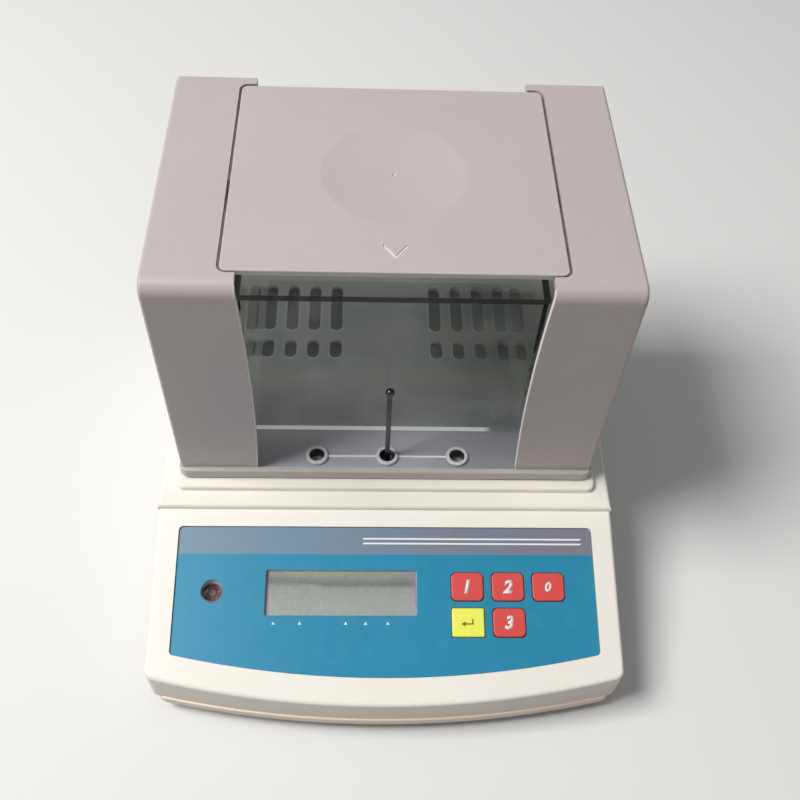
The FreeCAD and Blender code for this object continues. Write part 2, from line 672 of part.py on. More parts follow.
def bottom_case():
    """Lower case: a shallow pan with bosses for its screws, the feet, the board and the stop."""
    shell = lip_plan(0, (GROUND_GAP, CASE_SEAM_Z))
    shell = cut(shell, lip_plan(2 * CASE_WALL, (FLOOR_TOP_Z, CASE_SEAM_Z + CUT)))
    parts = [shell]
    for x, y in case_screw_places():
        parts.append(rod(BOSS_RADIUS, x, y, (GROUND_GAP, GROUND_GAP + BOSS_HEIGHT)))
    for name, x, y in foot_places():
        boss = INSERT_RADIUS + INSERT_BOSS_WALL
        parts.append(rod(boss, x, y, (GROUND_GAP, FLOOR_TOP_Z + INSERT_HEIGHT)))
    for x, y in main_board_screw_places():
        parts.append(rod(BOARD_POST_RADIUS, x, y, (GROUND_GAP, FLOOR_TOP_Z + MAIN_BOARD_RISE)))
    stop_y = CELL_FRONT_Y + CELL_END / 2
    parts.append(rod(STOP_BOSS_RADIUS, 0, stop_y, (GROUND_GAP, FLOOR_TOP_Z + STOP_BOSS_HEIGHT)))
    tools = []
    for x, y in case_screw_places():
        head = (GROUND_GAP - CUT, GROUND_GAP + SCREW_RECESS)
        tools.append(running_hole(SCREW_HEAD_RADIUS, x, y, head))
        tools.append(running_hole(SCREW_RADIUS, x, y, (GROUND_GAP, GROUND_GAP + BOSS_HEIGHT + CUT)))
    for name, x, y in foot_places():
        tools.append(rod(INSERT_RADIUS, x, y, (FLOOR_TOP_Z, FLOOR_TOP_Z + INSERT_HEIGHT + CUT)))
        tools.append(rod(FOOT_STUD_RADIUS + GAP, x, y, (GROUND_GAP - CUT, FLOOR_TOP_Z + CUT)))
    for x, y in main_board_screw_places():
        pilot = (FLOOR_TOP_Z + MAIN_BOARD_RISE - BOARD_SCREW_LENGTH, FLOOR_TOP_Z + MAIN_BOARD_RISE + CUT)
        tools.append(running_hole(SCREW_RADIUS, x, y, pilot))
    tools.append(running_hole(CELL_SCREW_RADIUS, 0, stop_y, (GROUND_GAP - CUT, CELL_Z)))
    for y in cell_screw_ys(CELL_REAR_Y - CELL_END / 2):
        head = (GROUND_GAP - CUT, GROUND_GAP + CELL_SCREW_RECESS)
        tools.append(rod(SCREW_HEAD_RADIUS + CELL_SCREW_RECESS_GAP, 0, y, head))
        tools.append(running_hole(CELL_SCREW_RADIUS, 0, y, (GROUND_GAP, FLOOR_TOP_Z + CUT)))
    shell = cut(fuse(*parts), *tools)
    lip = edges_where(shell, lambda b: b.ZMin > CASE_SEAM_Z - NEAR and b.YMin < FRONT_Y - LIP_PROUD / 2)
    return shell.makeFillet(LIP_EDGE, lip)


def cell_screw_ys(middle):
    """Places of the two screws at one end of the load cell."""
    return (middle - CELL_SCREW_PITCH / 2, middle + CELL_SCREW_PITCH / 2)


def control_overlay():
    """Printed panel with openings for the window, the keys and the level."""
    sheet = panel_prism(0, (-POCKET_DEPTH, -POCKET_DEPTH + OVERLAY_THICKNESS))
    tools = [window_prism(WINDOW_GAP, (-POCKET_DEPTH - CUT, CUT))]
    for name, column, row, corner in KEYS:
        tools.append(key_prism(key_place(column, row), KEY_GAP, (-POCKET_DEPTH - CUT, CUT), corner))
    return cut(on_panel(cut(sheet, *tools)), level_hole((0, DECK_Z)))


def lcd_window():
    """Clear pane, set below the printed panel."""
    return on_panel(window_prism(0, (-CASE_WALL, -WINDOW_RECESS)))


def lcd_glass():
    """Display cell behind the pane."""
    return on_panel(window_prism(GLASS_BORDER, (-CASE_WALL - GLASS_THICKNESS, -CASE_WALL)))


def lcd_frame():
    """Frame that holds the display cell over its board."""
    outer = window_prism(GLASS_BORDER + REST_GAP + LCD_FRAME_WALL, (DISPLAY_BOARD_TOP, -CASE_WALL))
    floor = -CASE_WALL - GLASS_THICKNESS
    pocket = window_prism(GLASS_BORDER + REST_GAP, (floor, -CASE_WALL + CUT))
    hollow = window_prism(0, (DISPLAY_BOARD_TOP - CUT, floor + CUT))
    return on_panel(cut(outer, pocket, hollow))


def key(column, row, corner):
    """Key cap with a flange behind the case and a stem over its switch."""
    place = key_place(column, row)
    cap = soften_top(key_prism(place, 0, (-CASE_WALL - KEY_TRAVEL, KEY_TOP), corner), KEY_EDGE)
    flange = key_prism(place, KEY_FLANGE, (-CASE_WALL - KEY_FLANGE_THICKNESS, -CASE_WALL), corner)
    stem = rod(KEY_STEM_RADIUS, place[0], place[1], (switch_top() - KEY_STEM_GRIP, -CASE_WALL))
    return on_panel(fuse(cap, flange, stem))


def switch_top():
    """Height of the key switches' tops on the panel's scale."""
    return DISPLAY_BOARD_TOP + SWITCH_HEIGHT


def key_switches():
    """Five small switches on the display board, each with a bore for its key's stem."""
    switches = []
    for name, column, row, corner in KEYS:
        x, y = key_place(column, row)
        body = box(about(x, SWITCH_WIDTH), about(y, SWITCH_WIDTH), (DISPLAY_BOARD_TOP, switch_top()))
        floor = switch_top() - KEY_STEM_GRIP - KEY_TRAVEL - REST_GAP
        bore = rod(KEY_STEM_RADIUS + RUNNING_GAP, x, y, (floor, switch_top() + CUT))
        switches.append(on_panel(cut(body, bore)))
    return Part.makeCompound(switches)


def display_board():
    """Board under the panel."""
    x_span = about(0, DISPLAY_BOARD_WIDTH)
    y_span = about(-DISPLAY_BOARD_DOWN, DISPLAY_BOARD_HEIGHT)
    board = box(x_span, y_span, (DISPLAY_BOARD_TOP - BOARD_THICKNESS, DISPLAY_BOARD_TOP))
    through = (DISPLAY_BOARD_TOP - BOARD_THICKNESS - CUT, DISPLAY_BOARD_TOP + CUT)
    holes = [running_hole(SCREW_RADIUS, x, -down, through) for x, down in display_post_places()]
    underside = DISPLAY_BOARD_TOP - BOARD_THICKNESS
    socket_z = (underside - RIBBON_SOCKET_HEIGHT, underside)
    socket = box(about(MAIN_BOARD_X, SOCKET_BLOCK[0]), about(-DISPLAY_BOARD_DOWN, SOCKET_BLOCK[1]), socket_z)
    return on_panel(cut(fuse(board, socket), *holes))


def level_cup_bottom():
    """Height of the underside of the level's cup."""
    return level_middle()[1] - LEVEL_SINK - VIAL_HEIGHT - LEVEL_CUP_FLOOR


def level_hole(z_span):
    """Upright bore that the level's cup stands in."""
    return rod(VIAL_RADIUS + LEVEL_CUP_WALL + REST_GAP, LEVEL_X, level_middle()[0], z_span)


def level_seat():
    """Cup-shaped seat of the level under the panel."""
    y, surface = level_middle()
    radius = VIAL_RADIUS + LEVEL_CUP_WALL + REST_GAP + LEVEL_SEAT_WALL
    seat = rod(radius, LEVEL_X, y, (level_cup_bottom() - LEVEL_SEAT_WALL, surface + DECK_STEP))
    return seat.common(on_panel(panel_prism(0, (-CASE_DEPTH, -POCKET_DEPTH))))


def level_parts():
    """Cup, vial and bubble of the bull's-eye level."""
    y, surface = level_middle()
    top = surface - LEVEL_SINK
    bottom = top - VIAL_HEIGHT
    cup_radius = VIAL_RADIUS + LEVEL_CUP_WALL
    cup = rod(cup_radius, LEVEL_X, y, (level_cup_bottom(), top + LEVEL_CUP_WALL))
    cup = cut(cup, rod(VIAL_RADIUS + RUNNING_GAP, LEVEL_X, y, (bottom, top + LEVEL_CUP_WALL + CUT)))
    vial = rod(VIAL_RADIUS, LEVEL_X, y, (bottom, top))
    hollow = rod(VIAL_RADIUS - VIAL_WALL, LEVEL_X, y, (bottom + VIAL_WALL, top - VIAL_WALL))
    bubble_top = top - VIAL_WALL - RUNNING_GAP
    bubble = rod(BUBBLE_RADIUS, LEVEL_X, y, (bubble_top - BUBBLE_HEIGHT, bubble_top))
    return cup, cut(vial, hollow), bubble


def switch_spans(margin):
    """Width and height of the switch body, larger by a margin."""
    border = ROCKER_GAP + SWITCH_BODY_WALL + margin
    return about(ROCKER_X, ROCKER_WIDTH + 2 * border), about(REAR_PARTS_Z, 2 * (ROCKER_RADIUS + border))


def rocker_pivot():
    """Place of the rocker's pivot along Y."""
    return REAR_Y - ROCKER_SINK


def rocker_drum(radius, margin):
    """Cylinder around the rocker's pivot, wider than the rocker by a margin on each side."""
    start = Vector(ROCKER_X - ROCKER_WIDTH / 2 - margin, rocker_pivot(), REAR_PARTS_Z)
    return lying_rod(radius, start, ROCKER_WIDTH + 2 * margin, RIGHT)


def switch_body():
    """Body of the rear power switch with the round hollow of its rocker."""
    x_span, z_span = switch_spans(0)
    body = box(x_span, (REAR_Y - SWITCH_BODY_DEPTH, REAR_Y), z_span)
    hollow = rocker_drum(ROCKER_RADIUS + ROCKER_GAP, ROCKER_GAP)
    pivots = rocker_drum(ROCKER_PIN + RUNNING_GAP, ROCKER_GAP + ROCKER_PIN_GRIP + REST_GAP)
    return cut(body, hollow, pivots)


def switch_rocker():
    """Rocker with two flats and its pivot pins, resting with its upper half pressed in."""
    drum = rocker_drum(ROCKER_RADIUS, 0)
    reach = 2 * ROCKER_RADIUS
    face = ROCKER_SINK - ROCKER_GAP
    x_span = (ROCKER_X - ROCKER_WIDTH, ROCKER_X + ROCKER_WIDTH)
    for turn in (0, 2 * ROCKER_TILT):
        blade = box(x_span, (face, face + reach), (-reach, reach))
        blade.rotate(Vector(0, 0, 0), RIGHT, turn)
        blade.translate(Vector(0, rocker_pivot(), REAR_PARTS_Z))
        drum = drum.cut(blade)
    return fuse(drum, rocker_drum(ROCKER_PIN, ROCKER_GAP + ROCKER_PIN_GRIP))


def dc_jack():
    """Power inlet with its centre pin."""
    body_y = (REAR_Y - JACK_SIZE[1], REAR_Y)
    body = box(about(JACK_X, JACK_SIZE[0]), body_y, about(REAR_PARTS_Z, JACK_SIZE[2]))
    start = Vector(JACK_X, REAR_Y - JACK_BORE_DEPTH, REAR_PARTS_Z)
    bore = lying_rod(JACK_BORE, start, JACK_BORE_DEPTH + CUT, BACK)
    pin = lying_rod(JACK_PIN, start - BACK * CUT, JACK_BORE_DEPTH + CUT - JACK_PIN_SHORT, BACK)
    return fuse(cut(body, bore), pin)


def hood_block(inset):
    """Block of the hood, smaller by an inset, with its top front edge rounded."""
    x_span = about(0, HOOD_WIDTH - 2 * inset)
    y_span = (HOOD_Y + inset, HOOD_REAR_Y - inset)
    bottom = SEAM_Z - (CUT if inset else 0)
    block = box(x_span, y_span, (bottom, TOP_Z - inset))
    front = y_span[0] + NEAR
    top = TOP_Z - inset - NEAR
    front_edge = edges_where(block, lambda b: b.ZMin > top and b.YMax < front)
    return block.makeFillet(HOOD_FRONT_EDGE - inset, front_edge)


def hood_outside():
    """Outside of the hood with its side and rear edges softened."""
    block = hood_block(0)
    bottom, top, rear = SEAM_Z + NEAR, TOP_Z - NEAR, HOOD_REAR_Y - NEAR
    sides = edges_where(block, lambda b: b.XLength < NEAR and b.ZMax > bottom)
    back = edges_where(block, lambda b: b.XLength > NEAR and b.YMin > rear and b.ZMin > top)
    return block.makeFillet(HOOD_EDGE, sides + back)


def doorway_prism(y_span):
    """Prism of the doorway, whose upright sides bow slightly towards each other."""
    half = DOORWAY_WIDTH / 2
    middle_z = (SEAM_Z + TOP_Z) / 2
    edges = []
    for side in (-1, 1):
        ends = [Vector(side * half, y_span[0], z) for z in (SEAM_Z, TOP_Z)]
        waist = Vector(side * (half - DOORWAY_WAIST), y_span[0], middle_z)
        edges.append(Part.Arc(ends[0], waist, ends[1]).toShape())
        for end, drop in zip(ends, (-CUT, CUT)):
            edges.append(Part.makeLine(end, end + UP * drop))
    for z in (SEAM_Z - CUT, TOP_Z + CUT):
        edges.append(Part.makeLine(Vector(-half, y_span[0], z), Vector(half, y_span[0], z)))
    outline = Part.Wire(Part.__sortEdges__(edges))
    return Part.Face(outline).extrude(BACK * (y_span[1] - y_span[0]))


def hood():
    """Hood: a shell open below, with a doorway in front and an opening for the pan above."""
    shell = cut(hood_outside(), hood_block(HOOD_WALL))
    doorway = about(0, DOORWAY_WIDTH)
    pan_front = PAN_FRONT_Y - PAN_GAP
    pan_back = PAN_FRONT_Y + PAN_DEPTH + PAN_GAP
    door = doorway_prism((HOOD_Y - CUT, pan_front + CUT))
    well_z = grown((TOP_Z - HOOD_WALL, TOP_Z), CUT)
    well_x = about(0, PAN_WIDTH + 2 * PAN_GAP)
    well = rounded_prism(well_x, (pan_front, pan_back), well_z, PAN_CORNER + PAN_GAP)
    sill = box(doorway, (pan_back - CUT, HOOD_REAR_Y + CUT), (TOP_Z - REAR_SILL_DROP, TOP_Z + CUT))
    return cut(shell, door, well, sill)


def pan_pad_places():
    """Middles of the four pads under the pan."""
    return [(side * RAIL_X, PAN_Y + end * PAD_SPAN / 2) for side in (-1, 1) for end in (-1, 1)]


def weighing_pan():
    """Pan with a shallow dish, a centre mark, an arrow and four rings below."""
    y_span = (PAN_FRONT_Y, PAN_FRONT_Y + PAN_DEPTH)
    plate = rounded_prism(about(0, PAN_WIDTH), y_span, (PAN_BOTTOM_Z, TOP_Z), PAN_CORNER)
    plate = soften_top(plate, PAN_EDGE)
    ball_radius = (DISH_RADIUS ** 2 + DISH_DEPTH ** 2) / (2 * DISH_DEPTH)
    dish = Part.makeSphere(ball_radius, Vector(0, PAN_Y, TOP_Z - DISH_DEPTH + ball_radius))
    dimple_z = TOP_Z - DISH_DEPTH - DIMPLE_DEPTH + DIMPLE_RADIUS
    dimple = Part.makeSphere(DIMPLE_RADIUS, Vector(0, PAN_Y, dimple_z))
    plate = cut(cut(plate, dish), dimple, pan_arrow())
    rings = []
    for x, y in pan_pad_places():
        inner = PAD_RADIUS + PAN_RING_GAP
        span = (PAN_BOTTOM_Z - PAN_RING_DROP, PAN_BOTTOM_Z)
        rings.append(cut(rod(inner + PAN_RING_WALL, x, y, span), rod(inner, x, y, (span[0] - CUT, span[1]))))
    return fuse(plate, *rings)


def pan_arrow():
    """Groove of the arrow that shows the pan's front."""
    tip = PAN_FRONT_Y + ARROW_SETBACK
    half = ARROW_WIDTH / 2
    line = ARROW_LINE * math.hypot(half, ARROW_LENGTH) / half
    z = TOP_Z - ARROW_DEPTH
    points = [(0, tip), (half, tip + ARROW_LENGTH), (half, tip + ARROW_LENGTH + line), (0, tip + line)]
    points += [(-half, tip + ARROW_LENGTH + line), (-half, tip + ARROW_LENGTH)]
    corners = [Vector(x, y, z) for x, y in points]
    return Part.Face(Part.makePolygon(corners + corners[:1])).extrude(UP * (ARROW_DEPTH + CUT))


def slot_prism(x, span, margin, z_span):
    """Slot with round ends, larger by a margin all round."""
    half = SLOT_WIDTH / 2 + margin
    near, far = HOOD_Y + span[0] + SLOT_WIDTH / 2, HOOD_Y + span[1] - SLOT_WIDTH / 2
    middle = box((x - half, x + half), (near, far), z_span)
    return fuse(middle, rod(half, x, near, z_span), rod(half, x, far, z_span))


def slot_places():
    """Middle and span of every slot in the tray."""
    xs = [SLOT_FIRST_X + i * SLOT_PITCH for i in range(SLOT_COUNT)]
    return [(side * x, span) for side in (-1, 1) for x in xs for span in SLOT_SPANS]


def tray_skin():
    """Hollow tray with its recessed floor and shadow line."""
    y_span = (HOOD_Y - TRAY_FRONT, HOOD_REAR_Y + TRAY_REAR)
    x_span = about(0, HOOD_WIDTH + 2 * TRAY_OVERHANG)
    foot_z = PLINTH_Z + TRAY_FOOT_HEIGHT
    upper = soften_top(rounded_prism(x_span, y_span, (foot_z, SEAM_Z), TRAY_CORNER), TRAY_EDGE)
    foot = rounded_prism(grown(x_span, -TRAY_FOOT_SET), grown(y_span, -TRAY_FOOT_SET), (PLINTH_Z, foot_z),
                         TRAY_CORNER - TRAY_FOOT_SET)
    wall = TRAY_WALL + TRAY_FOOT_SET
    hollow = box(grown(x_span, -wall), grown(y_span, -wall), (PLINTH_Z - CUT, TRAY_FLOOR_Z - TRAY_WALL))
    rim = HOOD_WALL + TRAY_RIM
    floor_y = (HOOD_Y + TRAY_FRONT_RIM, HOOD_REAR_Y - rim)
    floor = rounded_prism(about(0, HOOD_WIDTH - 2 * rim), floor_y, (TRAY_FLOOR_Z, SEAM_Z + CUT), TRAY_RIM)
    return cut(fuse(upper, foot), hollow, floor)


def tray_fittings():
    """Rims of the slots, ribs, collars for the posts, tabs for the hood and bosses for the screws."""
    bottom = TRAY_FLOOR_Z - TRAY_WALL
    parts = []
    for x, span in slot_places():
        parts.append(slot_prism(x, span, SLOT_LIP, (bottom, TRAY_FLOOR_Z + SLOT_LIP_HEIGHT)))
    rib_z = (TRAY_FLOOR_Z - RIB_HEIGHT, TRAY_FLOOR_Z + RIB_HEIGHT)
    parts.append(box(about(0, 2 * SOCKET_PITCH), about(SOCKET_Y, RIB_WIDTH), rib_z))
    parts.append(box(about(0, RIB_WIDTH), (SOCKET_Y, TANK_Y - GAP), rib_z))
    collar_z = (bottom, TRAY_FLOOR_Z + POST_COLLAR_HEIGHT)
    tab_z = (bottom, TRAY_FLOOR_Z + TAB_HEIGHT)
    for side in (-1, 1):
        parts.append(rod(POST_HOLE + POST_COLLAR_WALL, side * POST_X, PAN_Y, collar_z))
        face = side * (HOOD_WIDTH / 2 - HOOD_WALL - GAP)
        x_span = sorted((face, face - side * TAB_THICKNESS))
        for place in TAB_PLACES:
            parts.append(box(x_span, about(HOOD_Y + place, TAB_LENGTH), tab_z))
    for x, y in tray_screw_places():
        parts.append(rod(TRAY_BOSS_RADIUS, x, y, (PLINTH_Z, TRAY_FLOOR_Z)))
    return parts


def tray():
    """Tray with its slots, sockets' seats and holes for the posts and screws."""
    through = (PLINTH_Z - CUT, TRAY_FLOOR_Z + TAB_HEIGHT)
    tools = [slot_prism(x, span, 0, through) for x, span in slot_places()]
    for index in (-1, 0, 1):
        tools.append(rod(SOCKET_SLEEVE, index * SOCKET_PITCH, SOCKET_Y, through))
    for side in (-1, 1):
        tools.append(rod(POST_HOLE, side * POST_X, PAN_Y, through))
    for x, y in tray_screw_places():
        tools.append(running_hole(SCREW_RADIUS, x, y, (PLINTH_Z - CUT, TRAY_FLOOR_Z - TRAY_SCREW_ROOF)))
    return cut(fuse(tray_skin(), *tray_fittings()), *tools)


def tool_socket(index):
    """Flanged sleeve that a slim tool stands in."""
    x = index * SOCKET_PITCH
    ring = soften_top(rod(SOCKET_RADIUS, x, SOCKET_Y, (TRAY_FLOOR_Z + RIB_HEIGHT, SOCKET_TOP_Z)), SOCKET_EDGE)
    sleeve = rod(SOCKET_SLEEVE, x, SOCKET_Y, (SOCKET_TOP_Z - SOCKET_DEPTH, SOCKET_TOP_Z - SOCKET_EDGE))
    bore = rod(SOCKET_BORE, x, SOCKET_Y, (SOCKET_TOP_Z - SOCKET_DEPTH - CUT, SOCKET_TOP_Z + CUT))
    return cut(fuse(ring, sleeve), bore)


def probe():
    """Slim rod with a ball on top and a plug that stands in the middle socket."""
    bottom = PLINTH_Z
    plug_radius = SOCKET_BORE - RUNNING_GAP
    plug_z = SOCKET_TOP_Z - SOCKET_DEPTH
    plug = soften_top(rod(plug_radius, 0, SOCKET_Y, (bottom, plug_z + PROBE_PLUG_HEIGHT)), PROBE_PLUG_EDGE)
    top = TRAY_FLOOR_Z + PROBE_HEIGHT
    stem = rod(PROBE_RADIUS, 0, SOCKET_Y, (bottom, top))
    return fuse(plug, stem, Part.makeSphere(PROBE_BALL, Vector(0, SOCKET_Y, top)))


def water_tank():
    """Clear open box."""
    x_span = about(0, TANK_WIDTH)
    y_span = (TANK_Y, TANK_Y + TANK_DEPTH)
    outer = rounded_prism(x_span, y_span, (TANK_Z, TANK_TOP_Z), TANK_CORNER)
    hollow_z = (TANK_Z + TANK_FLOOR, TANK_TOP_Z + CUT)
    inner = box(grown(x_span, -TANK_WALL), grown(y_span, -TANK_WALL), hollow_z)
    return cut(outer, inner)


def tank_pads():
    """Four pads between the tank and the tray."""
    pads = []
    for side in (-1, 1):
        for x, place in TANK_PAD_PLACES:
            pads.append(rod(TANK_PAD_RADIUS, side * x, HOOD_Y + place, (TRAY_FLOOR_Z, TANK_Z)))
    return Part.makeCompound(pads)


def load_cell():
    """Aluminium beam with its double hole and screw holes."""
    beam = box(about(0, CELL_WIDTH), (CELL_FRONT_Y, CELL_REAR_Y), (CELL_Z, CELL_TOP_Z))
    middle_z = (CELL_Z + CELL_TOP_Z) / 2
    across = (-CELL_WIDTH, CELL_WIDTH)
    tools = [box(across, about(CELL_Y, CELL_HOLE_SPACING), about(middle_z, CELL_HOLE_RADIUS))]
    for end in (-1, 1):
        start = Vector(-CELL_WIDTH, CELL_Y + end * CELL_HOLE_SPACING / 2, middle_z)
        tools.append(lying_rod(CELL_HOLE_RADIUS, start, 2 * CELL_WIDTH, RIGHT))
    hole = CELL_SCREW_RADIUS + RUNNING_GAP
    for y in cell_screw_ys(CELL_REAR_Y - CELL_END / 2):
        tools.append(rod(hole, 0, y, (CELL_Z - CUT, CELL_Z + CELL_SCREW_GRIP + REST_GAP)))
    for y in cell_screw_ys(CELL_FRONT_Y + CELL_END / 2):
        low = CELL_TOP_Z - CELL_SCREW_GRIP - WEIGH_TRAVEL - REST_GAP
        tools.append(rod(hole, 0, y, (low, CELL_TOP_Z + CUT)))
    return cut(beam, *tools)


def cell_mount():
    """Block under the fixed end of the load cell."""
    y_span = (CELL_REAR_Y - CELL_END, CELL_REAR_Y)
    block = box(about(0, MOUNT_WIDTH), y_span, (FLOOR_TOP_Z, CELL_Z))
    holes = [running_hole(CELL_SCREW_RADIUS, 0, y, (FLOOR_TOP_Z - CUT, CELL_Z + CUT))
             for y in cell_screw_ys(CELL_REAR_Y - CELL_END / 2)]
    return cut(block, *holes)


def cell_screws():
    """Two screws that hold the fixed end of the load cell from below."""
    screws = []
    head_top = GROUND_GAP + CELL_SCREW_RECESS
    for y in cell_screw_ys(CELL_REAR_Y - CELL_END / 2):
        head = rod(SCREW_HEAD_RADIUS, 0, y, (GROUND_GAP, head_top))
        screws.append(fuse(head, rod(CELL_SCREW_RADIUS, 0, y, (GROUND_GAP, CELL_Z + CELL_SCREW_GRIP))))
    return Part.makeCompound(screws)


def overload_stop():
    """Set screw that catches the free end of the load cell."""
    y = CELL_FRONT_Y + CELL_END / 2
    return rod(CELL_SCREW_RADIUS, 0, y, (GROUND_GAP + LIP_EDGE, CELL_Z - WEIGH_TRAVEL))


def post_holes(z_span):
    """Tools for the holes of the two posts."""
    return [running_hole(POST_RADIUS, side * POST_X, PAN_Y, z_span) for side in (-1, 1)]


def carrier_arm():
    """T-shaped plate on the free end of the load cell."""
    plate_z = (CARRIER_Z, CARRIER_TOP_Z)
    arm = box(about(0, 2 * POST_X + CARRIER_ARM_WIDTH), about(PAN_Y, CARRIER_ARM_WIDTH), plate_z)
    spine = box(about(0, CARRIER_SPINE_WIDTH), (CELL_FRONT_Y, PAN_Y), plate_z)
    step = box(about(0, CELL_WIDTH), (CELL_FRONT_Y, CELL_FRONT_Y + CELL_END), (CELL_TOP_Z, CARRIER_Z))
    tools = post_holes(grown(plate_z, CUT))
    for y in cell_screw_ys(CELL_FRONT_Y + CELL_END / 2):
        tools.append(running_hole(CELL_SCREW_RADIUS, 0, y, (CELL_TOP_Z - CUT, CARRIER_TOP_Z + CUT)))
    return cut(fuse(arm, spine, step), *tools)


def carrier_screws():
    """Two screws that hold the carrier on the free end."""
    screws = []
    for y in cell_screw_ys(CELL_FRONT_Y + CELL_END / 2):
        head = rod(SCREW_HEAD_RADIUS, 0, y, (CARRIER_TOP_Z, CARRIER_TOP_Z + SCREW_HEAD_HEIGHT))
        screws.append(fuse(head, rod(CELL_SCREW_RADIUS, 0, y, (CELL_TOP_Z - CELL_SCREW_GRIP, CARRIER_TOP_Z))))
    return Part.makeCompound(screws)


def frame_posts():
    """Two rods from the carrier up through the tray to the bracket."""
    span = (CARRIER_Z - POST_TAIL, BRACKET_TOP_Z + POST_TAIL)
    return Part.makeCompound([rod(POST_RADIUS, side * POST_X, PAN_Y, span) for side in (-1, 1)])


def hex_nut(x, y, z):
    """Nut with a clear hole for a post."""
    corners = []
    for i in range(NUT_SIDES + 1):
        angle = 2 * math.pi * i / NUT_SIDES
        corners.append(Vector(x + NUT_RADIUS * math.cos(angle), y + NUT_RADIUS * math.sin(angle), z))
    nut = Part.Face(Part.makePolygon(corners)).extrude(UP * NUT_HEIGHT)
    return nut.cut(running_hole(POST_RADIUS, x, y, grown((z, z + NUT_HEIGHT), CUT)))


def post_nuts():
    """Nuts under and over the carrier and over the bracket."""
    levels = (CARRIER_Z - NUT_HEIGHT, CARRIER_TOP_Z, BRACKET_Z - NUT_HEIGHT, BRACKET_TOP_Z)
    return Part.makeCompound([hex_nut(side * POST_X, PAN_Y, z) for side in (-1, 1) for z in levels])


def pan_bracket():
    """Crossbar between the posts with two rails for the pads and a hole for a sample hook."""
    bar_z = (BRACKET_Z, BRACKET_TOP_Z)
    bar = box(about(0, 2 * (POST_X + BRACKET_END)), about(PAN_Y, CARRIER_ARM_WIDTH), bar_z)
    rails = []
    for side in (-1, 1):
        x_span = about(side * RAIL_X, RAIL_WIDTH)
        rails.append(box(x_span, about(PAN_Y, RAIL_LENGTH), (BRACKET_TOP_Z, RAIL_TOP_Z)))
    hole_z = grown(bar_z, CUT)
    return cut(fuse(bar, *rails), rod(HOOK_HOLE, 0, PAN_Y, hole_z), *post_holes(hole_z))


def pan_pads():
    """Four soft pads that the pan stands on."""
    return Part.makeCompound([rod(PAD_RADIUS, x, y, (RAIL_TOP_Z, PAN_BOTTOM_Z)) for x, y in pan_pad_places()])


def screw_from_below(x, y, bottom, length):
    """Screw whose head is at its lower end."""
    head = rod(SCREW_HEAD_RADIUS, x, y, (bottom, bottom + SCREW_HEAD_HEIGHT))
    return fuse(head, rod(SCREW_RADIUS, x, y, (bottom, bottom + SCREW_HEAD_HEIGHT + length)))


def case_screws():
    """Four screws that close the case from below."""
    bottom = GROUND_GAP + SCREW_RECESS - SCREW_HEAD_HEIGHT
    return Part.makeCompound([screw_from_below(x, y, bottom, SCREW_LENGTH) for x, y in case_screw_places()])


def tray_screws():
    """Four screws up through the roof of the case into the tray."""
    bottom = DECK_Z - CASE_WALL - SCREW_HEAD_HEIGHT
    screws = [screw_from_below(x, y, bottom, TRAY_SCREW_LENGTH) for x, y in tray_screw_places()]
    return Part.makeCompound(screws)


def display_screws():
    """Four screws that hold the display board on its posts."""
    bottom = DISPLAY_BOARD_TOP - BOARD_THICKNESS - SCREW_HEAD_HEIGHT
    screws = []
    for x, down in display_post_places():
        screws.append(on_panel(screw_from_below(x, -down, bottom, BOARD_SCREW_LENGTH)))
    return Part.makeCompound(screws)


def board_block(size, y, z):
    """Block of a width, length and height over the main board's middle line."""
    return box(about(MAIN_BOARD_X, size[0]), about(y, size[1]), (z, z + size[2]))


def main_board():
    """Main board with its processor, a capacitor and a socket."""
    z = FLOOR_TOP_Z + MAIN_BOARD_RISE
    top = z + BOARD_THICKNESS
    board = board_block((*MAIN_BOARD_SIZE, BOARD_THICKNESS), MAIN_BOARD_Y, z)
    chip = board_block(CHIP_SIZE, MAIN_BOARD_Y, top)
    capacitor_y = MAIN_BOARD_Y + MAIN_BOARD_SIZE[1] / 2 - CAPACITOR_PLACE
    capacitor = rod(CAPACITOR_RADIUS, MAIN_BOARD_X, capacitor_y, (top, top + CAPACITOR_HEIGHT))
    plug_y = MAIN_BOARD_Y - MAIN_BOARD_SIZE[1] / 2 + SOCKET_BLOCK[1]
    plug = board_block(SOCKET_BLOCK, plug_y, top)
    hole_z = grown((z, top), CUT)
    holes = [running_hole(SCREW_RADIUS, x, y, hole_z) for x, y in main_board_screw_places()]
    return cut(fuse(board, chip, capacitor, plug), *holes)


def main_board_screws():
    """Four screws of the main board."""
    top = FLOOR_TOP_Z + MAIN_BOARD_RISE + BOARD_THICKNESS
    screws = []
    for x, y in main_board_screw_places():
        shank = rod(SCREW_RADIUS, x, y, (top - BOARD_SCREW_LENGTH, top))
        screws.append(fuse(shank, rod(SCREW_HEAD_RADIUS, x, y, (top, top + SCREW_HEAD_HEIGHT))))
    return Part.makeCompound(screws)


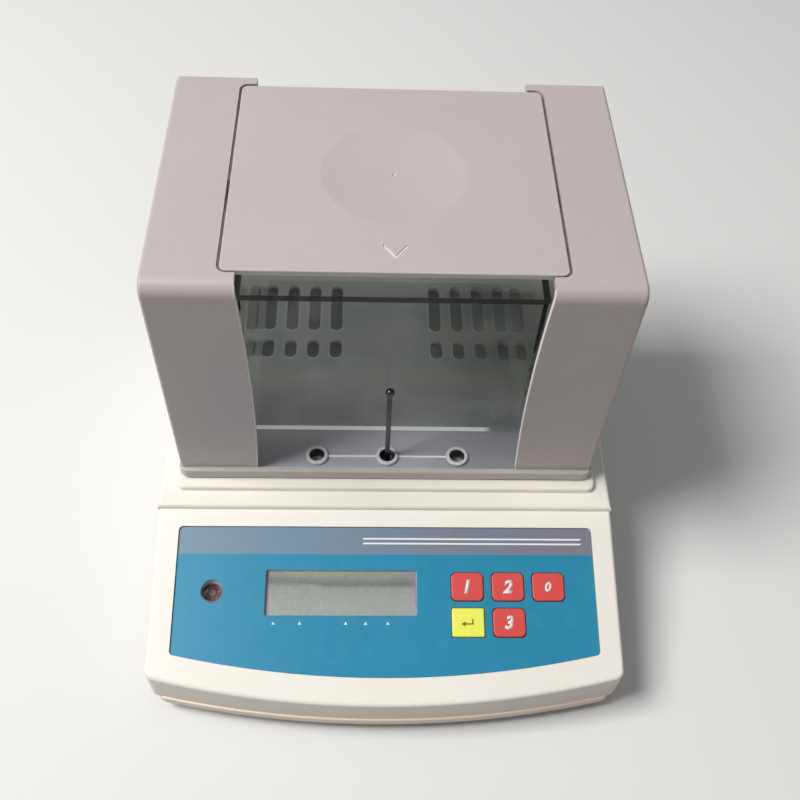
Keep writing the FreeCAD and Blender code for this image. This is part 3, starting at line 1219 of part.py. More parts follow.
def display_ribbon():
    """Flat cable from the display board's socket down to the main board's socket."""
    socket_y = MAIN_BOARD_Y - MAIN_BOARD_SIZE[1] / 2 + SOCKET_BLOCK[1]
    socket_z = FLOOR_TOP_Z + MAIN_BOARD_RISE + BOARD_THICKNESS + SOCKET_BLOCK[2]
    ends = []
    for step in (0, RIBBON_END):
        depth = DISPLAY_BOARD_DEPTH + BOARD_THICKNESS + RIBBON_SOCKET_HEIGHT + step
        y = PANEL_Y - DISPLAY_BOARD_DOWN * SLOPE_COSINE + depth * SLOPE_SINE
        ends.append((y, PANEL_Z - DISPLAY_BOARD_DOWN * SLOPE_SINE - depth * SLOPE_COSINE))
    high = (socket_y, socket_z + RIBBON_END)
    sag = ((ends[1][0] + high[0]) / 2, (ends[1][1] + high[1]) / 2 - RIBBON_SAG)
    points = ends + [sag, high, (socket_y, socket_z)]
    x_span = about(MAIN_BOARD_X, RIBBON_WIDTH)
    half = RIBBON_THICKNESS / 2
    pieces = []
    for (y, z), (next_y, next_z) in zip(points, points[1:]):
        length = math.hypot(next_y - y, next_z - z)
        across = (-(next_z - z) / length * half, (next_y - y) / length * half)
        corners = [(y + across[0], z + across[1]), (next_y + across[0], next_z + across[1])]
        corners += [(next_y - across[0], next_z - across[1]), (y - across[0], z - across[1])]
        pieces.append(prism_from_yz(corners, x_span))
    for y, z in points[1:-1]:
        pieces.append(lying_rod(half, Vector(x_span[0], y, z), RIBBON_WIDTH, RIGHT))
    return fuse(*pieces)


def foot_pad(x, y):
    """Rubber pad of a levelling foot, with the socket of its pivot."""
    pad = rod(FOOT_PAD_RADIUS, x, y, (0, FOOT_PAD_HEIGHT))
    pad = soften_top(pad, FOOT_PAD_EDGE)
    socket_z = (FOOT_PAD_HEIGHT - FOOT_PIVOT_DEPTH - REST_GAP, FOOT_PAD_HEIGHT + CUT)
    socket = running_hole(FOOT_PIVOT_RADIUS, x, y, socket_z)
    return cut(pad, socket)


def foot_screw(x, y):
    """Knurled wheel with its threaded stud and pivot."""
    low = FOOT_PAD_HEIGHT
    high = GROUND_GAP - FOOT_KNOB_GAP
    wheel = rod(FOOT_KNOB_RADIUS, x, y, (low, high))
    notches = []
    for i in range(KNURL_COUNT):
        angle = 2 * math.pi * i / KNURL_COUNT
        notch_x = x + FOOT_KNOB_RADIUS * math.cos(angle)
        notch_y = y + FOOT_KNOB_RADIUS * math.sin(angle)
        notches.append(rod(KNURL_RADIUS, notch_x, notch_y, (low - CUT, high + CUT)))
    stud = rod(FOOT_STUD_RADIUS, x, y, (low, GROUND_GAP + FOOT_STUD_HEIGHT))
    pivot = rod(FOOT_PIVOT_RADIUS, x, y, (FOOT_PAD_HEIGHT - FOOT_PIVOT_DEPTH, low + CUT))
    return fuse(cut(wheel, *notches), stud, pivot)


def foot_inserts():
    """Four brass nuts that the feet screw into."""
    inserts = []
    for name, x, y in foot_places():
        span = (FLOOR_TOP_Z, FLOOR_TOP_Z + INSERT_HEIGHT)
        bore = rod(FOOT_STUD_RADIUS + RUNNING_GAP, x, y, (span[0] - CUT, span[1] + CUT))
        inserts.append(rod(INSERT_RADIUS, x, y, span).cut(bore))
    return Part.makeCompound(inserts)


def build():
    """Every piece by its name."""
    cup, vial, bubble = level_parts()
    pieces = {
        "bottom_case": bottom_case(),
        "top_case": top_case(),
        "control_overlay": control_overlay(),
        "lcd_window": lcd_window(),
        "lcd_glass": lcd_glass(),
        "lcd_frame": lcd_frame(),
        "display_board": display_board(),
        "key_switches": key_switches(),
        "display_screws": display_screws(),
        "display_ribbon": display_ribbon(),
        "level_cup": cup,
        "level_vial": vial,
        "level_bubble": bubble,
        "main_board": main_board(),
        "main_board_screws": main_board_screws(),
        "dc_jack": dc_jack(),
        "switch_body": switch_body(),
        "switch_rocker": switch_rocker(),
        "case_screws": case_screws(),
        "tray": tray(),
        "tray_screws": tray_screws(),
        "tool_socket_left": tool_socket(-1),
        "tool_socket_middle": tool_socket(0),
        "tool_socket_right": tool_socket(1),
        "probe": probe(),
        "water_tank": water_tank(),
        "tank_pads": tank_pads(),
        "hood": hood(),
        "weighing_pan": weighing_pan(),
        "pan_pads": pan_pads(),
        "pan_bracket": pan_bracket(),
        "frame_posts": frame_posts(),
        "post_nuts": post_nuts(),
        "carrier_arm": carrier_arm(),
        "carrier_screws": carrier_screws(),
        "load_cell": load_cell(),
        "cell_mount": cell_mount(),
        "cell_screws": cell_screws(),
        "overload_stop": overload_stop(),
        "foot_inserts": foot_inserts(),
    }
    for name, column, row, corner in KEYS:
        pieces[name] = key(column, row, corner)
    for name, x, y in foot_places():
        pieces["foot_pad_" + name] = foot_pad(x, y)
        pieces["foot_screw_" + name] = foot_screw(x, y)
    return pieces


def main():
    """Write one STEP file for each piece."""
    os.makedirs("parts", exist_ok=True)
    for name, shape in build().items():
        shape.exportStep(os.path.join("parts", name + ".step"))
        print(name, len(shape.Solids), "valid" if shape.isValid() else "NOT VALID", round(shape.Volume, 1))


main()
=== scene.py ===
import logging
import math
from abc import ABC, abstractmethod
from dataclasses import dataclass, field
from enum import Enum
from functools import cached_property, lru_cache
from typing import Callable, Mapping, Sequence

import bpy
from mathutils import Matrix, Vector


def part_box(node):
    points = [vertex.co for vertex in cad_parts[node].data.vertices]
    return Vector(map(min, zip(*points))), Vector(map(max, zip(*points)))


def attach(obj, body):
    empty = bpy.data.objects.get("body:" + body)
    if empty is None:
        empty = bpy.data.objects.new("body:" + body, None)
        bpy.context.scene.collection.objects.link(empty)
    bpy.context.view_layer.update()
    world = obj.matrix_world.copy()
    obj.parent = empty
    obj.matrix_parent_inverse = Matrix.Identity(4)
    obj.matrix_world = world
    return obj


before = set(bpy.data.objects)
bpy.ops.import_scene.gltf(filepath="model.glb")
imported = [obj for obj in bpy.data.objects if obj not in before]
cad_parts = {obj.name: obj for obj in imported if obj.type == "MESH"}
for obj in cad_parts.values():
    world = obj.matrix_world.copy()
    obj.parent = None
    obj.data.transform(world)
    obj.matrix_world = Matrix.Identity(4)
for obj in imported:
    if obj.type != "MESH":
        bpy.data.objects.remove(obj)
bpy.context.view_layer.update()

log = logging.getLogger("density_meter")

Colour = tuple[float, float, float, float]
Piece = bpy.types.Object
Span = tuple[float, float]
MM = 0.001
SLOPE = math.radians(14.75)
PANEL_TOP = Vector((0.0, -36.056 * MM, 43.516 * MM))
FACING = 0.9
BLACKNESS: Colour = (0.0, 0.0, 0.0, 1.0)


def tone(red: int, green: int, blue: int) -> Colour:
    """Turns a colour as seen on a screen into the shader's scale.

    Args:
        red: Red part, from 0 to 255.
        green: Green part, from 0 to 255.
        blue: Blue part, from 0 to 255.

    Returns:
        The same colour in linear light, with full alpha.
    """
    parts = [part / 255 for part in (red, green, blue)]
    linear = [p / 12.92 if p <= 0.04045 else ((p + 0.055) / 1.055) ** 2.4 for p in parts]
    return (linear[0], linear[1], linear[2], 1.0)


def scaled(colour: Colour, share: float) -> Colour:
    """Lightens or darkens a colour by a factor and keeps it within range."""
    return tuple(min(1.0, part * share) for part in colour[:3]) + (1.0,)


def panel_matrix() -> Matrix:
    """Gives the place of the sloping panel, with Y up the slope and Z out of it."""
    return Matrix.Translation(PANEL_TOP) @ Matrix.Rotation(SLOPE, 4, "X")


def maths_method(operation: str, swapped: bool = False) -> Callable[..., "Value"]:
    """Makes a method of Value that adds one Math node.

    Args:
        operation: Math node's operation.
        swapped: Whether the operands come in reverse order.

    Returns:
        The method.
    """
    def method(self: "Value", *others: "Value | float") -> "Value":
        """Adds the Math node."""
        return self.maths(operation, *others, swapped=swapped)

    return method


class Value:
    """Shader socket that takes part in Python expressions."""

    __add__ = __radd__ = maths_method("ADD")
    __sub__ = maths_method("SUBTRACT")
    __rsub__ = maths_method("SUBTRACT", swapped=True)
    __mul__ = __rmul__ = maths_method("MULTIPLY")
    __abs__ = maths_method("ABSOLUTE")
    power = maths_method("POWER")
    larger = maths_method("MAXIMUM")
    smaller = maths_method("MINIMUM")

    def __init__(self, shader: "Shader", socket: bpy.types.NodeSocket) -> None:
        """Wraps one output socket of a shader."""
        self.shader = shader
        self.socket = socket

    def maths(self, operation: str, *others: "Value | float", swapped: bool = False) -> "Value":
        """Adds one Math node.

        Args:
            operation: Math node's operation.
            others: Further operands, links or numbers.
            swapped: Whether the operands come in reverse order.

        Returns:
            The node's result.
        """
        operands = [self, *others]
        if swapped:
            operands.reverse()
        return self.shader.node("Math", {"operation": operation}, dict(enumerate(operands)))[0]

    def ramp(self, low: float, high: float) -> "Value":
        """Rises smoothly from 0 to 1 between two values.

        Args:
            low: Value that gives 0.
            high: Value that gives 1; a lower one than low turns the ramp round.

        Returns:
            The share from 0 to 1.
        """
        settings = {"interpolation_type": "SMOOTHSTEP", "clamp": True}
        sockets = {"Value": self, "From Min": low, "From Max": high}
        return self.shader.node("MapRange", settings, sockets)["Result"]

    def within(self, low: float, high: float, soft: float) -> "Value":
        """1 between two values and 0 outside them, with borders of the given softness."""
        return self.ramp(low, low + soft) * self.ramp(high, high - soft)


class Outputs:
    """Output sockets of a new node, by name or number."""

    def __init__(self, shader: "Shader", node: bpy.types.Node) -> None:
        """Keeps the node and its shader."""
        self.shader = shader
        self.made = node

    def __getitem__(self, key: int | str) -> Value:
        """Wraps one output."""
        return Value(self.shader, self.made.outputs[key])


class Shader:
    """Node tree of one material or of the world."""

    noise_roughness: float = 0.55
    samples: int = 4
    edge_range: Span = (0.995, 0.9)
    hollow_range: Span = (0.75, 0.2)
    scratch_stretch: tuple[float, float, float] = (1.0, 0.03, 0.3)
    scratch_range: Span = (0.68, 0.72)
    scratched_size: float = 18 * MM
    scratched_range: Span = (0.55, 0.62)

    def __init__(self, owner: bpy.types.ID) -> None:
        """Empties the owner's node tree.

        Args:
            owner: Material or world that gets the nodes.
        """
        owner.use_nodes = True
        self.tree = owner.node_tree
        self.tree.nodes.clear()

    def node(self, kind: str, settings: Mapping[str, object] | None = None,
             sockets: Mapping[int | str, object] | None = None) -> Outputs:
        """Adds a node.

        Args:
            kind: Blender's name of the node's type, without ShaderNode.
            settings: Properties, set before the sockets.
            sockets: Values or links of the inputs, by name or number.

        Returns:
            The node's outputs.
        """
        made = self.tree.nodes.new(f"ShaderNode{kind}")
        for name, value in (settings or {}).items():
            setattr(made, name, value)
        for name, value in (sockets or {}).items():
            if isinstance(value, Value):
                self.tree.links.new(value.socket, made.inputs[name])
            else:
                made.inputs[name].default_value = value
        return Outputs(self, made)

    def position(self) -> Value:
        """Place on the piece, in metres."""
        return self.node("TexCoord")["Object"]

    def split(self, vector: Value) -> tuple[Value, Value, Value]:
        """Takes a link that carries a vector apart into its X, Y and Z."""
        made = self.node("SeparateXYZ", None, {0: vector})
        return made[0], made[1], made[2]

    @cached_property
    def axes(self) -> tuple[Value, Value, Value]:
        """X, Y and Z of the place on the piece, in metres."""
        return self.split(self.position())

    def noise(self, size: float, detail: float = 2.0, stretch: Sequence[float] = (1.0, 1.0, 1.0),
              turn: Sequence[float] = (0.0, 0.0, 0.0)) -> Value:
        """Adds a soft random pattern.

        Args:
            size: Size of its spots, in metres.
            detail: Number of finer layers.
            stretch: Scale along each axis; below 1 draws the spots out.
            turn: Rotation of the pattern, in radians.

        Returns:
            A value around one half.
        """
        sockets = {"Vector": self.position(), "Scale": tuple(stretch), "Rotation": tuple(turn)}
        vector = self.node("Mapping", None, sockets)["Vector"]
        sockets = {"Vector": vector, "Scale": 1 / size, "Detail": detail,
                   "Roughness": self.noise_roughness}
        return self.node("TexNoise", None, sockets)["Fac"]

    def mix(self, share: Value | float, first: Value | Colour, second: Value | Colour) -> Value:
        """Mixes two colours; the share is that of the second one."""
        settings = {"data_type": "RGBA", "clamp_factor": True}
        return self.node("Mix", settings, {0: share, 6: first, 7: second})[2]

    def upward(self) -> Value:
        """How far the surface faces up, from 0 to 1."""
        normal = self.node("NewGeometry")["Normal"]
        return self.split(normal)[2].larger(0.0)

    def edges(self, radius: float) -> Value:
        """Marks the sharp edges.

        Args:
            radius: Reach from the edge, in metres.

        Returns:
            1 at an edge and 0 away from it.
        """
        rounded = self.node("Bevel", {"samples": self.samples}, {"Radius": radius})["Normal"]
        plain = self.node("NewGeometry")["Normal"]
        sockets = {0: rounded, 1: plain}
        dot = self.node("VectorMath", {"operation": "DOT_PRODUCT"}, sockets)["Value"]
        return dot.ramp(*self.edge_range)

    def hollows(self, reach: float) -> Value:
        """Marks corners and grooves by ambient occlusion, for painted shade with soiling; reach is how near
        the walls are, in metres.
        """
        shade = self.node("AmbientOcclusion", {"samples": self.samples}, {"Distance": reach})["AO"]
        return shade.ramp(*self.hollow_range)

    def scratches(self, size: float, turn: float) -> Value:
        """Marks sparse hairline scratches of a size in metres, turned by an angle in radians."""
        lines = self.noise(size, 1.0, self.scratch_stretch, (0.0, 0.0, turn)).ramp(*self.scratch_range)
        return lines * self.noise(self.scratched_size).ramp(*self.scratched_range)

    def bump(self, height: Value, depth: float, under: Value | None = None) -> Value:
        """Raises the surface by a pattern.

        Args:
            height: Pattern from 0 to 1.
            depth: Height of the pattern, in metres.
            under: Normal of a bump below this one.

        Returns:
            The bumped normal.
        """
        sockets = {"Height": height, "Distance": depth, "Strength": 1.0}
        if under is not None:
            sockets["Normal"] = under
        return self.node("Bump", None, sockets)["Normal"]

    def blend(self, share: Value | float, first: Value, second: Value) -> Value:
        """Mixes two surfaces; the share is that of the second one."""
        return self.node("MixShader", None, {0: share, 1: first, 2: second})[0]

    def principled(self, sockets: Mapping[str, object]) -> Value:
        """Adds the main surface node with the given sockets."""
        return self.node("BsdfPrincipled", None, sockets)["BSDF"]

    def surface(self, base: Value | Colour, roughness: Value | float, normal: Value) -> Value:
        """Adds the main surface node with the three sockets that most finishes use."""
        return self.principled({"Base Color": base, "Roughness": roughness, "Normal": normal})

    def close(self, surface: Value, kind: str = "OutputMaterial") -> None:
        """Links the surface to the output."""
        self.node(kind, None, {"Surface": surface})


@dataclass(frozen=True)
class Finish(ABC):
    """Finish of a material, drawn once and shared."""

    name: str

    @abstractmethod
    def draw(self, shader: Shader) -> Value:
        """Draws the surface."""


@lru_cache(maxsize=None)
def material_of(finish: Finish) -> bpy.types.Material:
    """Builds a finish's material the first time that it is asked for.

    Args:
        finish: Finish to draw.

    Returns:
        The shared material.
    """
    material = bpy.data.materials.new(finish.name)
    shader = Shader(material)
    shader.close(finish.draw(shader))
    return material


@dataclass(frozen=True)
class MouldedPlastic(Finish):
    """Moulded plastic with spark grain, slow clouding, edge wear, dust, hairlines, painted shade with soiling
    in its hollows and a faint painted glow where a finish marks lit places.
    """

    colour: Colour
    roughness: float = 0.42
    grain: float = 0.35 * MM
    grain_depth: float = 0.012 * MM
    clouding: float = 0.035
    edge_colour: Colour = (0.9, 0.9, 0.88, 1.0)
    edge_wear: float = 0.3
    edge_reach: float = 0.7 * MM
    hollow_shade_and_grime: float = 0.35
    dust: float = 0.05
    hairlines: float = 0.12
    cloud_size: float = 36 * MM
    handling_size: float = 9 * MM
    handling: float = 0.14
    handled: Span = (0.3, 0.6)
    groove_reach: float = 4 * MM
    hollow_darkness: float = 0.45
    dust_size: float = 3 * MM
    dusted: Span = (0.45, 0.75)
    dust_colour: Colour = (0.75, 0.73, 0.68, 1.0)
    dust_roughness: float = 0.8
    polish: float = 0.2
    scratch_size: float = 0.5 * MM
    scratch_turn: float = 0.7
    scratch_depth: float = 0.004 * MM
    painted_glow: Colour = BLACKNESS

    def plain_colour(self, shader: Shader) -> Value:
        """Draws the slightly clouded colour of the plastic before wear and dirt."""
        deep, pale = scaled(self.colour, 1 - self.clouding), scaled(self.colour, 1 + self.clouding)
        return shader.mix(shader.noise(self.cloud_size, detail=3.0), deep, pale)

    def relief(self, shader: Shader) -> Value | None:
        """Gives the normal of the broad shapes under the grain, if there are any."""
        return None

    def lit_places(self, shader: Shader) -> Value | None:
        """Marks the covered places that get a faint painted glow, if there are any."""
        return None

    def draw(self, shader: Shader) -> Value:
        """Draws the surface.

        Args:
            shader: Node tree to draw in.

        Returns:
            The finished surface.
        """
        handling = shader.noise(self.handling_size, detail=4.0)
        grain = shader.noise(self.grain)
        edge_mask = shader.edges(self.edge_reach) * handling.ramp(*self.handled) * self.edge_wear
        # Painted shade with soiling: darker where ambient occlusion finds corners and grooves.
        groove = shader.hollows(self.groove_reach) * self.hollow_shade_and_grime
        settled = shader.upward() * shader.noise(self.dust_size, detail=5.0).ramp(*self.dusted) * self.dust
        lines = shader.scratches(self.scratch_size, self.scratch_turn)
        base = shader.mix(settled, self.plain_colour(shader), self.dust_colour)
        base = shader.mix(groove, base, scaled(self.colour, self.hollow_darkness))
        base = shader.mix(edge_mask, base, self.edge_colour)
        roughness = handling * self.handling + (self.roughness - self.handling / 2)
        roughness = roughness + settled * self.dust_roughness - edge_mask * self.polish - lines * self.hairlines
        normal = shader.bump(grain, self.grain_depth, self.relief(shader))
        normal = shader.bump(1 - lines, self.scratch_depth, normal)
        # Painted glow: emission on the marked places, standing in for faint light that reaches them.
        lit = self.lit_places(shader)
        painted_glow = BLACKNESS if lit is None else shader.mix(lit, BLACKNESS, self.painted_glow)
        return shader.principled({"Base Color": base, "Roughness": roughness, "Normal": normal,
                                  "Emission Color": painted_glow, "Emission Strength": 1.0})


@dataclass(frozen=True)
class DishedPlastic(MouldedPlastic):
    """Moulded plastic of the pan: its shallow dish is shaded a little deeper, its arrow is paler."""

    centre_y: float = 44.1 * MM
    radius: float = 27 * MM
    extra_depth: float = 0.7 * MM
    arrow: Colour = tone(226, 219, 215)
    arrow_floor: float = 164.05 * MM
    arrow_near: Span = (0.15 * MM, 0.1 * MM)
    arrow_x: Span = (5 * MM, 4.75 * MM)
    arrow_y: Span = (-2.5 * MM, 8 * MM)
    arrow_soft: float = 1 * MM

    def plain_colour(self, shader: Shader) -> Value:
        """Paints the arrow's groove paler.

        Args:
            shader: Node tree to draw in.

        Returns:
            The pan's colour.
        """
        x, y, z = shader.axes
        groove = abs(z - self.arrow_floor).ramp(*self.arrow_near) * abs(x).ramp(*self.arrow_x)
        groove = groove * y.within(*self.arrow_y, self.arrow_soft)
        return shader.mix(groove, super().plain_colour(shader), self.arrow)

    def relief(self, shader: Shader) -> Value:
        """Draws the dish's slope.

        Args:
            shader: Node tree to draw in.

        Returns:
            The normal of the slope.
        """
        x, y, z = shader.axes
        across = y - self.centre_y
        height = (x * x + across * across) * (1 / self.radius ** 2)
        return shader.bump(height.smaller(1.0), self.extra_depth)


@dataclass(frozen=True)
class BoredPlastic(MouldedPlastic):
    """Moulded plastic with painted shade down in the three tool bores."""

    bores: tuple[float, ...] = (-29.6 * MM, 0.0, 29.6 * MM)
    bore_y: float = -8.8 * MM
    bore_radius: float = 3.5 * MM
    rim: float = 57 * MM
    bore_soft: Span = (0.35 * MM, 0.2 * MM)
    sunk: Span = (0.3 * MM, 1.2 * MM)
    deep: Colour = (0.012, 0.014, 0.018, 1.0)

    def plain_colour(self, shader: Shader) -> Value:
        """Paints shade into the bores.

        Args:
            shader: Node tree to draw in.

        Returns:
            The plastic's colour, with painted shade in the bores.
        """
        x, y, z = shader.axes
        across = y - self.bore_y
        square = across * across
        near = [((x - bore) * (x - bore) + square).power(0.5) for bore in self.bores]
        nearest = near[0].smaller(near[1]).smaller(near[2])
        inside = (nearest - self.bore_radius).ramp(*self.bore_soft)
        sunk = (self.rim - z).ramp(*self.sunk)
        # Painted shade: near black in the bores below the rim.
        return shader.mix(inside * sunk, super().plain_colour(shader), self.deep)


@dataclass(frozen=True)
class CasePlastic(BoredPlastic):
    """Ivory case plastic, painted grey as shade on the roof under the tray, with a faint painted glow there,
    and warmer low down at the front.
    """

    painted_shelter_tone: Colour = tone(186, 186, 182)
    painted_glow: Colour = (0.012, 0.012, 0.012, 1.0)
    shelter_x: Span = (84.5 * MM, 84 * MM)
    shelter_y: Span = (-13 * MM, -11 * MM)
    shelter_z: Span = (50.1 * MM, 50.2 * MM)
    low: Colour = tone(252, 236, 220)
    low_y: Span = (-60 * MM, -75 * MM)
    low_z: Span = (24 * MM, 9 * MM)

    def plain_colour(self, shader: Shader) -> Value:
        """Changes the colour by place.

        Args:
            shader: Node tree to draw in.

        Returns:
            The case's colour.
        """
        x, y, z = shader.axes
        front = z.ramp(*self.low_z) * y.ramp(*self.low_y)
        base = shader.mix(front, super().plain_colour(shader), self.low)
        # Painted shade: the roof under the tray is painted grey, so the slots above it look dark.
        return shader.mix(self.lit_places(shader), base, self.painted_shelter_tone)

    def lit_places(self, shader: Shader) -> Value:
        """Marks the roof under the tray, for its painted shade and glow."""
        x, y, z = shader.axes
        return y.ramp(*self.shelter_y) * abs(x).ramp(*self.shelter_x) * z.ramp(*self.shelter_z)


@dataclass(frozen=True)
class TrayPlastic(BoredPlastic):
    """Cool grey tray plastic with painted light and shade: paler under the hood, whiter on its raised tops,
    darker towards the right in front, a painted warm bounce along its open front edge and a faint painted
    glow on the floor under the tank.
    """

    painted_shelter_tone: Colour = tone(244, 245, 240)
    painted_warm_bounce: Colour = tone(192, 187, 178)
    shade: Colour = (0.12, 0.12, 0.125, 1.0)
    shade_share: float = 0.5
    shade_x: Span = (5 * MM, 45 * MM)
    painted_glow: Colour = (0.046, 0.045, 0.045, 1.0)
    stray_x: Span = (55 * MM, 5 * MM)
    rim_light: Colour = tone(255, 255, 255)
    rim_y: Span = (-14.9 * MM, -14.1 * MM)
    rim_z: Span = (55.7 * MM, 55.9 * MM)
    floor_x: Span = (81 * MM, 80 * MM)
    floor_z: Span = (54 * MM, 55 * MM)
    front_y: Span = (-14.1 * MM, -15.7 * MM)
    stray_y: Span = (-14.9 * MM, 8 * MM)
    inner_y: Span = (8 * MM, 38 * MM)

    def plain_colour(self, shader: Shader) -> Value:
        """Paints light and shade into the colour: paler under the hood, darker towards the right in front,
        whiter on the raised tops and warmer along the open front edge.

        Args:
            shader: Node tree to draw in.

        Returns:
            The tray's colour.
        """
        x, y, z = shader.axes
        inner = y.ramp(*self.inner_y)
        # Painted light: paler further back, under the hood.
        base = shader.mix(inner, super().plain_colour(shader), self.painted_shelter_tone)
        # Painted shade: darker towards the right in front.
        base = shader.mix(x.ramp(*self.shade_x) * (1 - inner) * self.shade_share, base, self.shade)
        # Painted light: the raised tops are whiter.
        raised = z.ramp(*self.rim_z) * y.ramp(*self.rim_y) * abs(x).ramp(*self.floor_x)
        # Painted warm bounce from the ivory case along the open front edge.
        return shader.mix(y.ramp(*self.front_y), shader.mix(raised, base, self.rim_light), self.painted_warm_bounce)

    def lit_places(self, shader: Shader) -> Value:
        """Marks the floor under the tank for the painted glow, less so at the right.

        Args:
            shader: Node tree to draw in.

        Returns:
            1 on the floor at the left and 0 elsewhere.
        """
        x, y, z = shader.axes
        floor = abs(x).ramp(*self.floor_x) * z.ramp(*self.floor_z)
        return floor * x.ramp(*self.stray_x) * y.ramp(*self.stray_y)


@dataclass(frozen=True)
class HoodPlastic(MouldedPlastic):
    """Warm grey hood plastic with painted light: paler inside, a painted highlight along the edges of its
    doorway and a faint painted glow low inside.
    """

    inside: Colour = tone(236, 238, 234)
    inner_x: float = 83.8 * MM
    inner_y: Span = (-12.7 * MM, 98.4 * MM)
    inner_top: float = 162.2 * MM
    doorway: float = 54 * MM
    waist: float = 1.7 * MM
    door_middle: float = 110.2 * MM
    door_half: float = 54.2 * MM
    jamb_near: Span = (0.25 * MM, 0.1 * MM)
    jamb_y: Span = (-12 * MM, -12.5 * MM)
    hair: float = 0.1 * MM
    jamb_highlight: Colour = tone(248, 244, 238)
    painted_glow: Colour = (0.042, 0.043, 0.042, 1.0)
    stray_x: Span = (75 * MM, -25 * MM)
    stray_z: Span = (153 * MM, 143 * MM)

    def plain_colour(self, shader: Shader) -> Value:
        """Draws the painted light: the paler inside and the highlight along the doorway's edges.

        Args:
            shader: Node tree to draw in.

        Returns:
            The hood's colour.
        """
        x, y, z = shader.axes
        height = (z - self.door_middle) * (1 / self.door_half)
        bowed = abs(x) - (height * height * self.waist + (self.doorway - self.waist))
        # Painted highlight along the doorway's edges.
        jamb = abs(bowed).ramp(*self.jamb_near) * y.ramp(*self.jamb_y)
        # Painted light: the inside is paler.
        base = shader.mix(self.inner_places(shader), super().plain_colour(shader), self.inside)
        return shader.mix(jamb, base, self.jamb_highlight)

    def inner_places(self, shader: Shader) -> Value:
        """Marks the inside of the hood.

        Args:
            shader: Node tree to draw in.

        Returns:
            1 inside the hood and 0 outside it.
        """
        x, y, z = shader.axes
        side = abs(x).ramp(self.inner_x + self.hair, self.inner_x)
        below = z.ramp(self.inner_top + self.hair, self.inner_top)
        return side * below * y.within(self.inner_y[0] - self.hair, self.inner_y[1] + self.hair, self.hair)

    def lit_places(self, shader: Shader) -> Value:
        """Marks the hood's inside below the gap around the pan for the painted glow, less so at the right."""
        x, y, z = shader.axes
        return self.inner_places(shader) * z.ramp(*self.stray_z) * x.ramp(*self.stray_x)


@dataclass(frozen=True)
class MarkedPlastic(MouldedPlastic):
    """Moulded plastic of the power rocker with a printed bar and ring for on and off."""

    centre_x: float = 38 * MM
    centre_z: float = 27 * MM
    spread: float = 3.7 * MM
    bar_x: Span = (0.42 * MM, 0.3 * MM)
    bar_z: Span = (1.75 * MM, 1.6 * MM)
    ring_radius: float = 1.35 * MM
    ring_line: Span = (0.36 * MM, 0.26 * MM)
    rear: Span = (102.5 * MM, 103 * MM)
    mark: Colour = (0.8, 0.8, 0.78, 1.0)
    mark_roughness: float = 0.5

    def draw(self, shader: Shader) -> Value:
        """Draws the surface.

        Args:
            shader: Node tree to draw in.

        Returns:
            The plastic with its two marks.
        """
        plain = super().draw(shader)
        x, y, z = shader.axes
        across, up = x - self.centre_x, z - self.centre_z
        bar = abs(across).ramp(*self.bar_x) * abs(up - self.spread).ramp(*self.bar_z)
        low = up + self.spread
        radius = (across * across + low * low).power(0.5)
        ring = abs(radius - self.ring_radius).ramp(*self.ring_line)
        ink = shader.principled({"Base Color": self.mark, "Roughness": self.mark_roughness})
        return shader.blend(bar.larger(ring) * y.ramp(*self.rear), plain, ink)


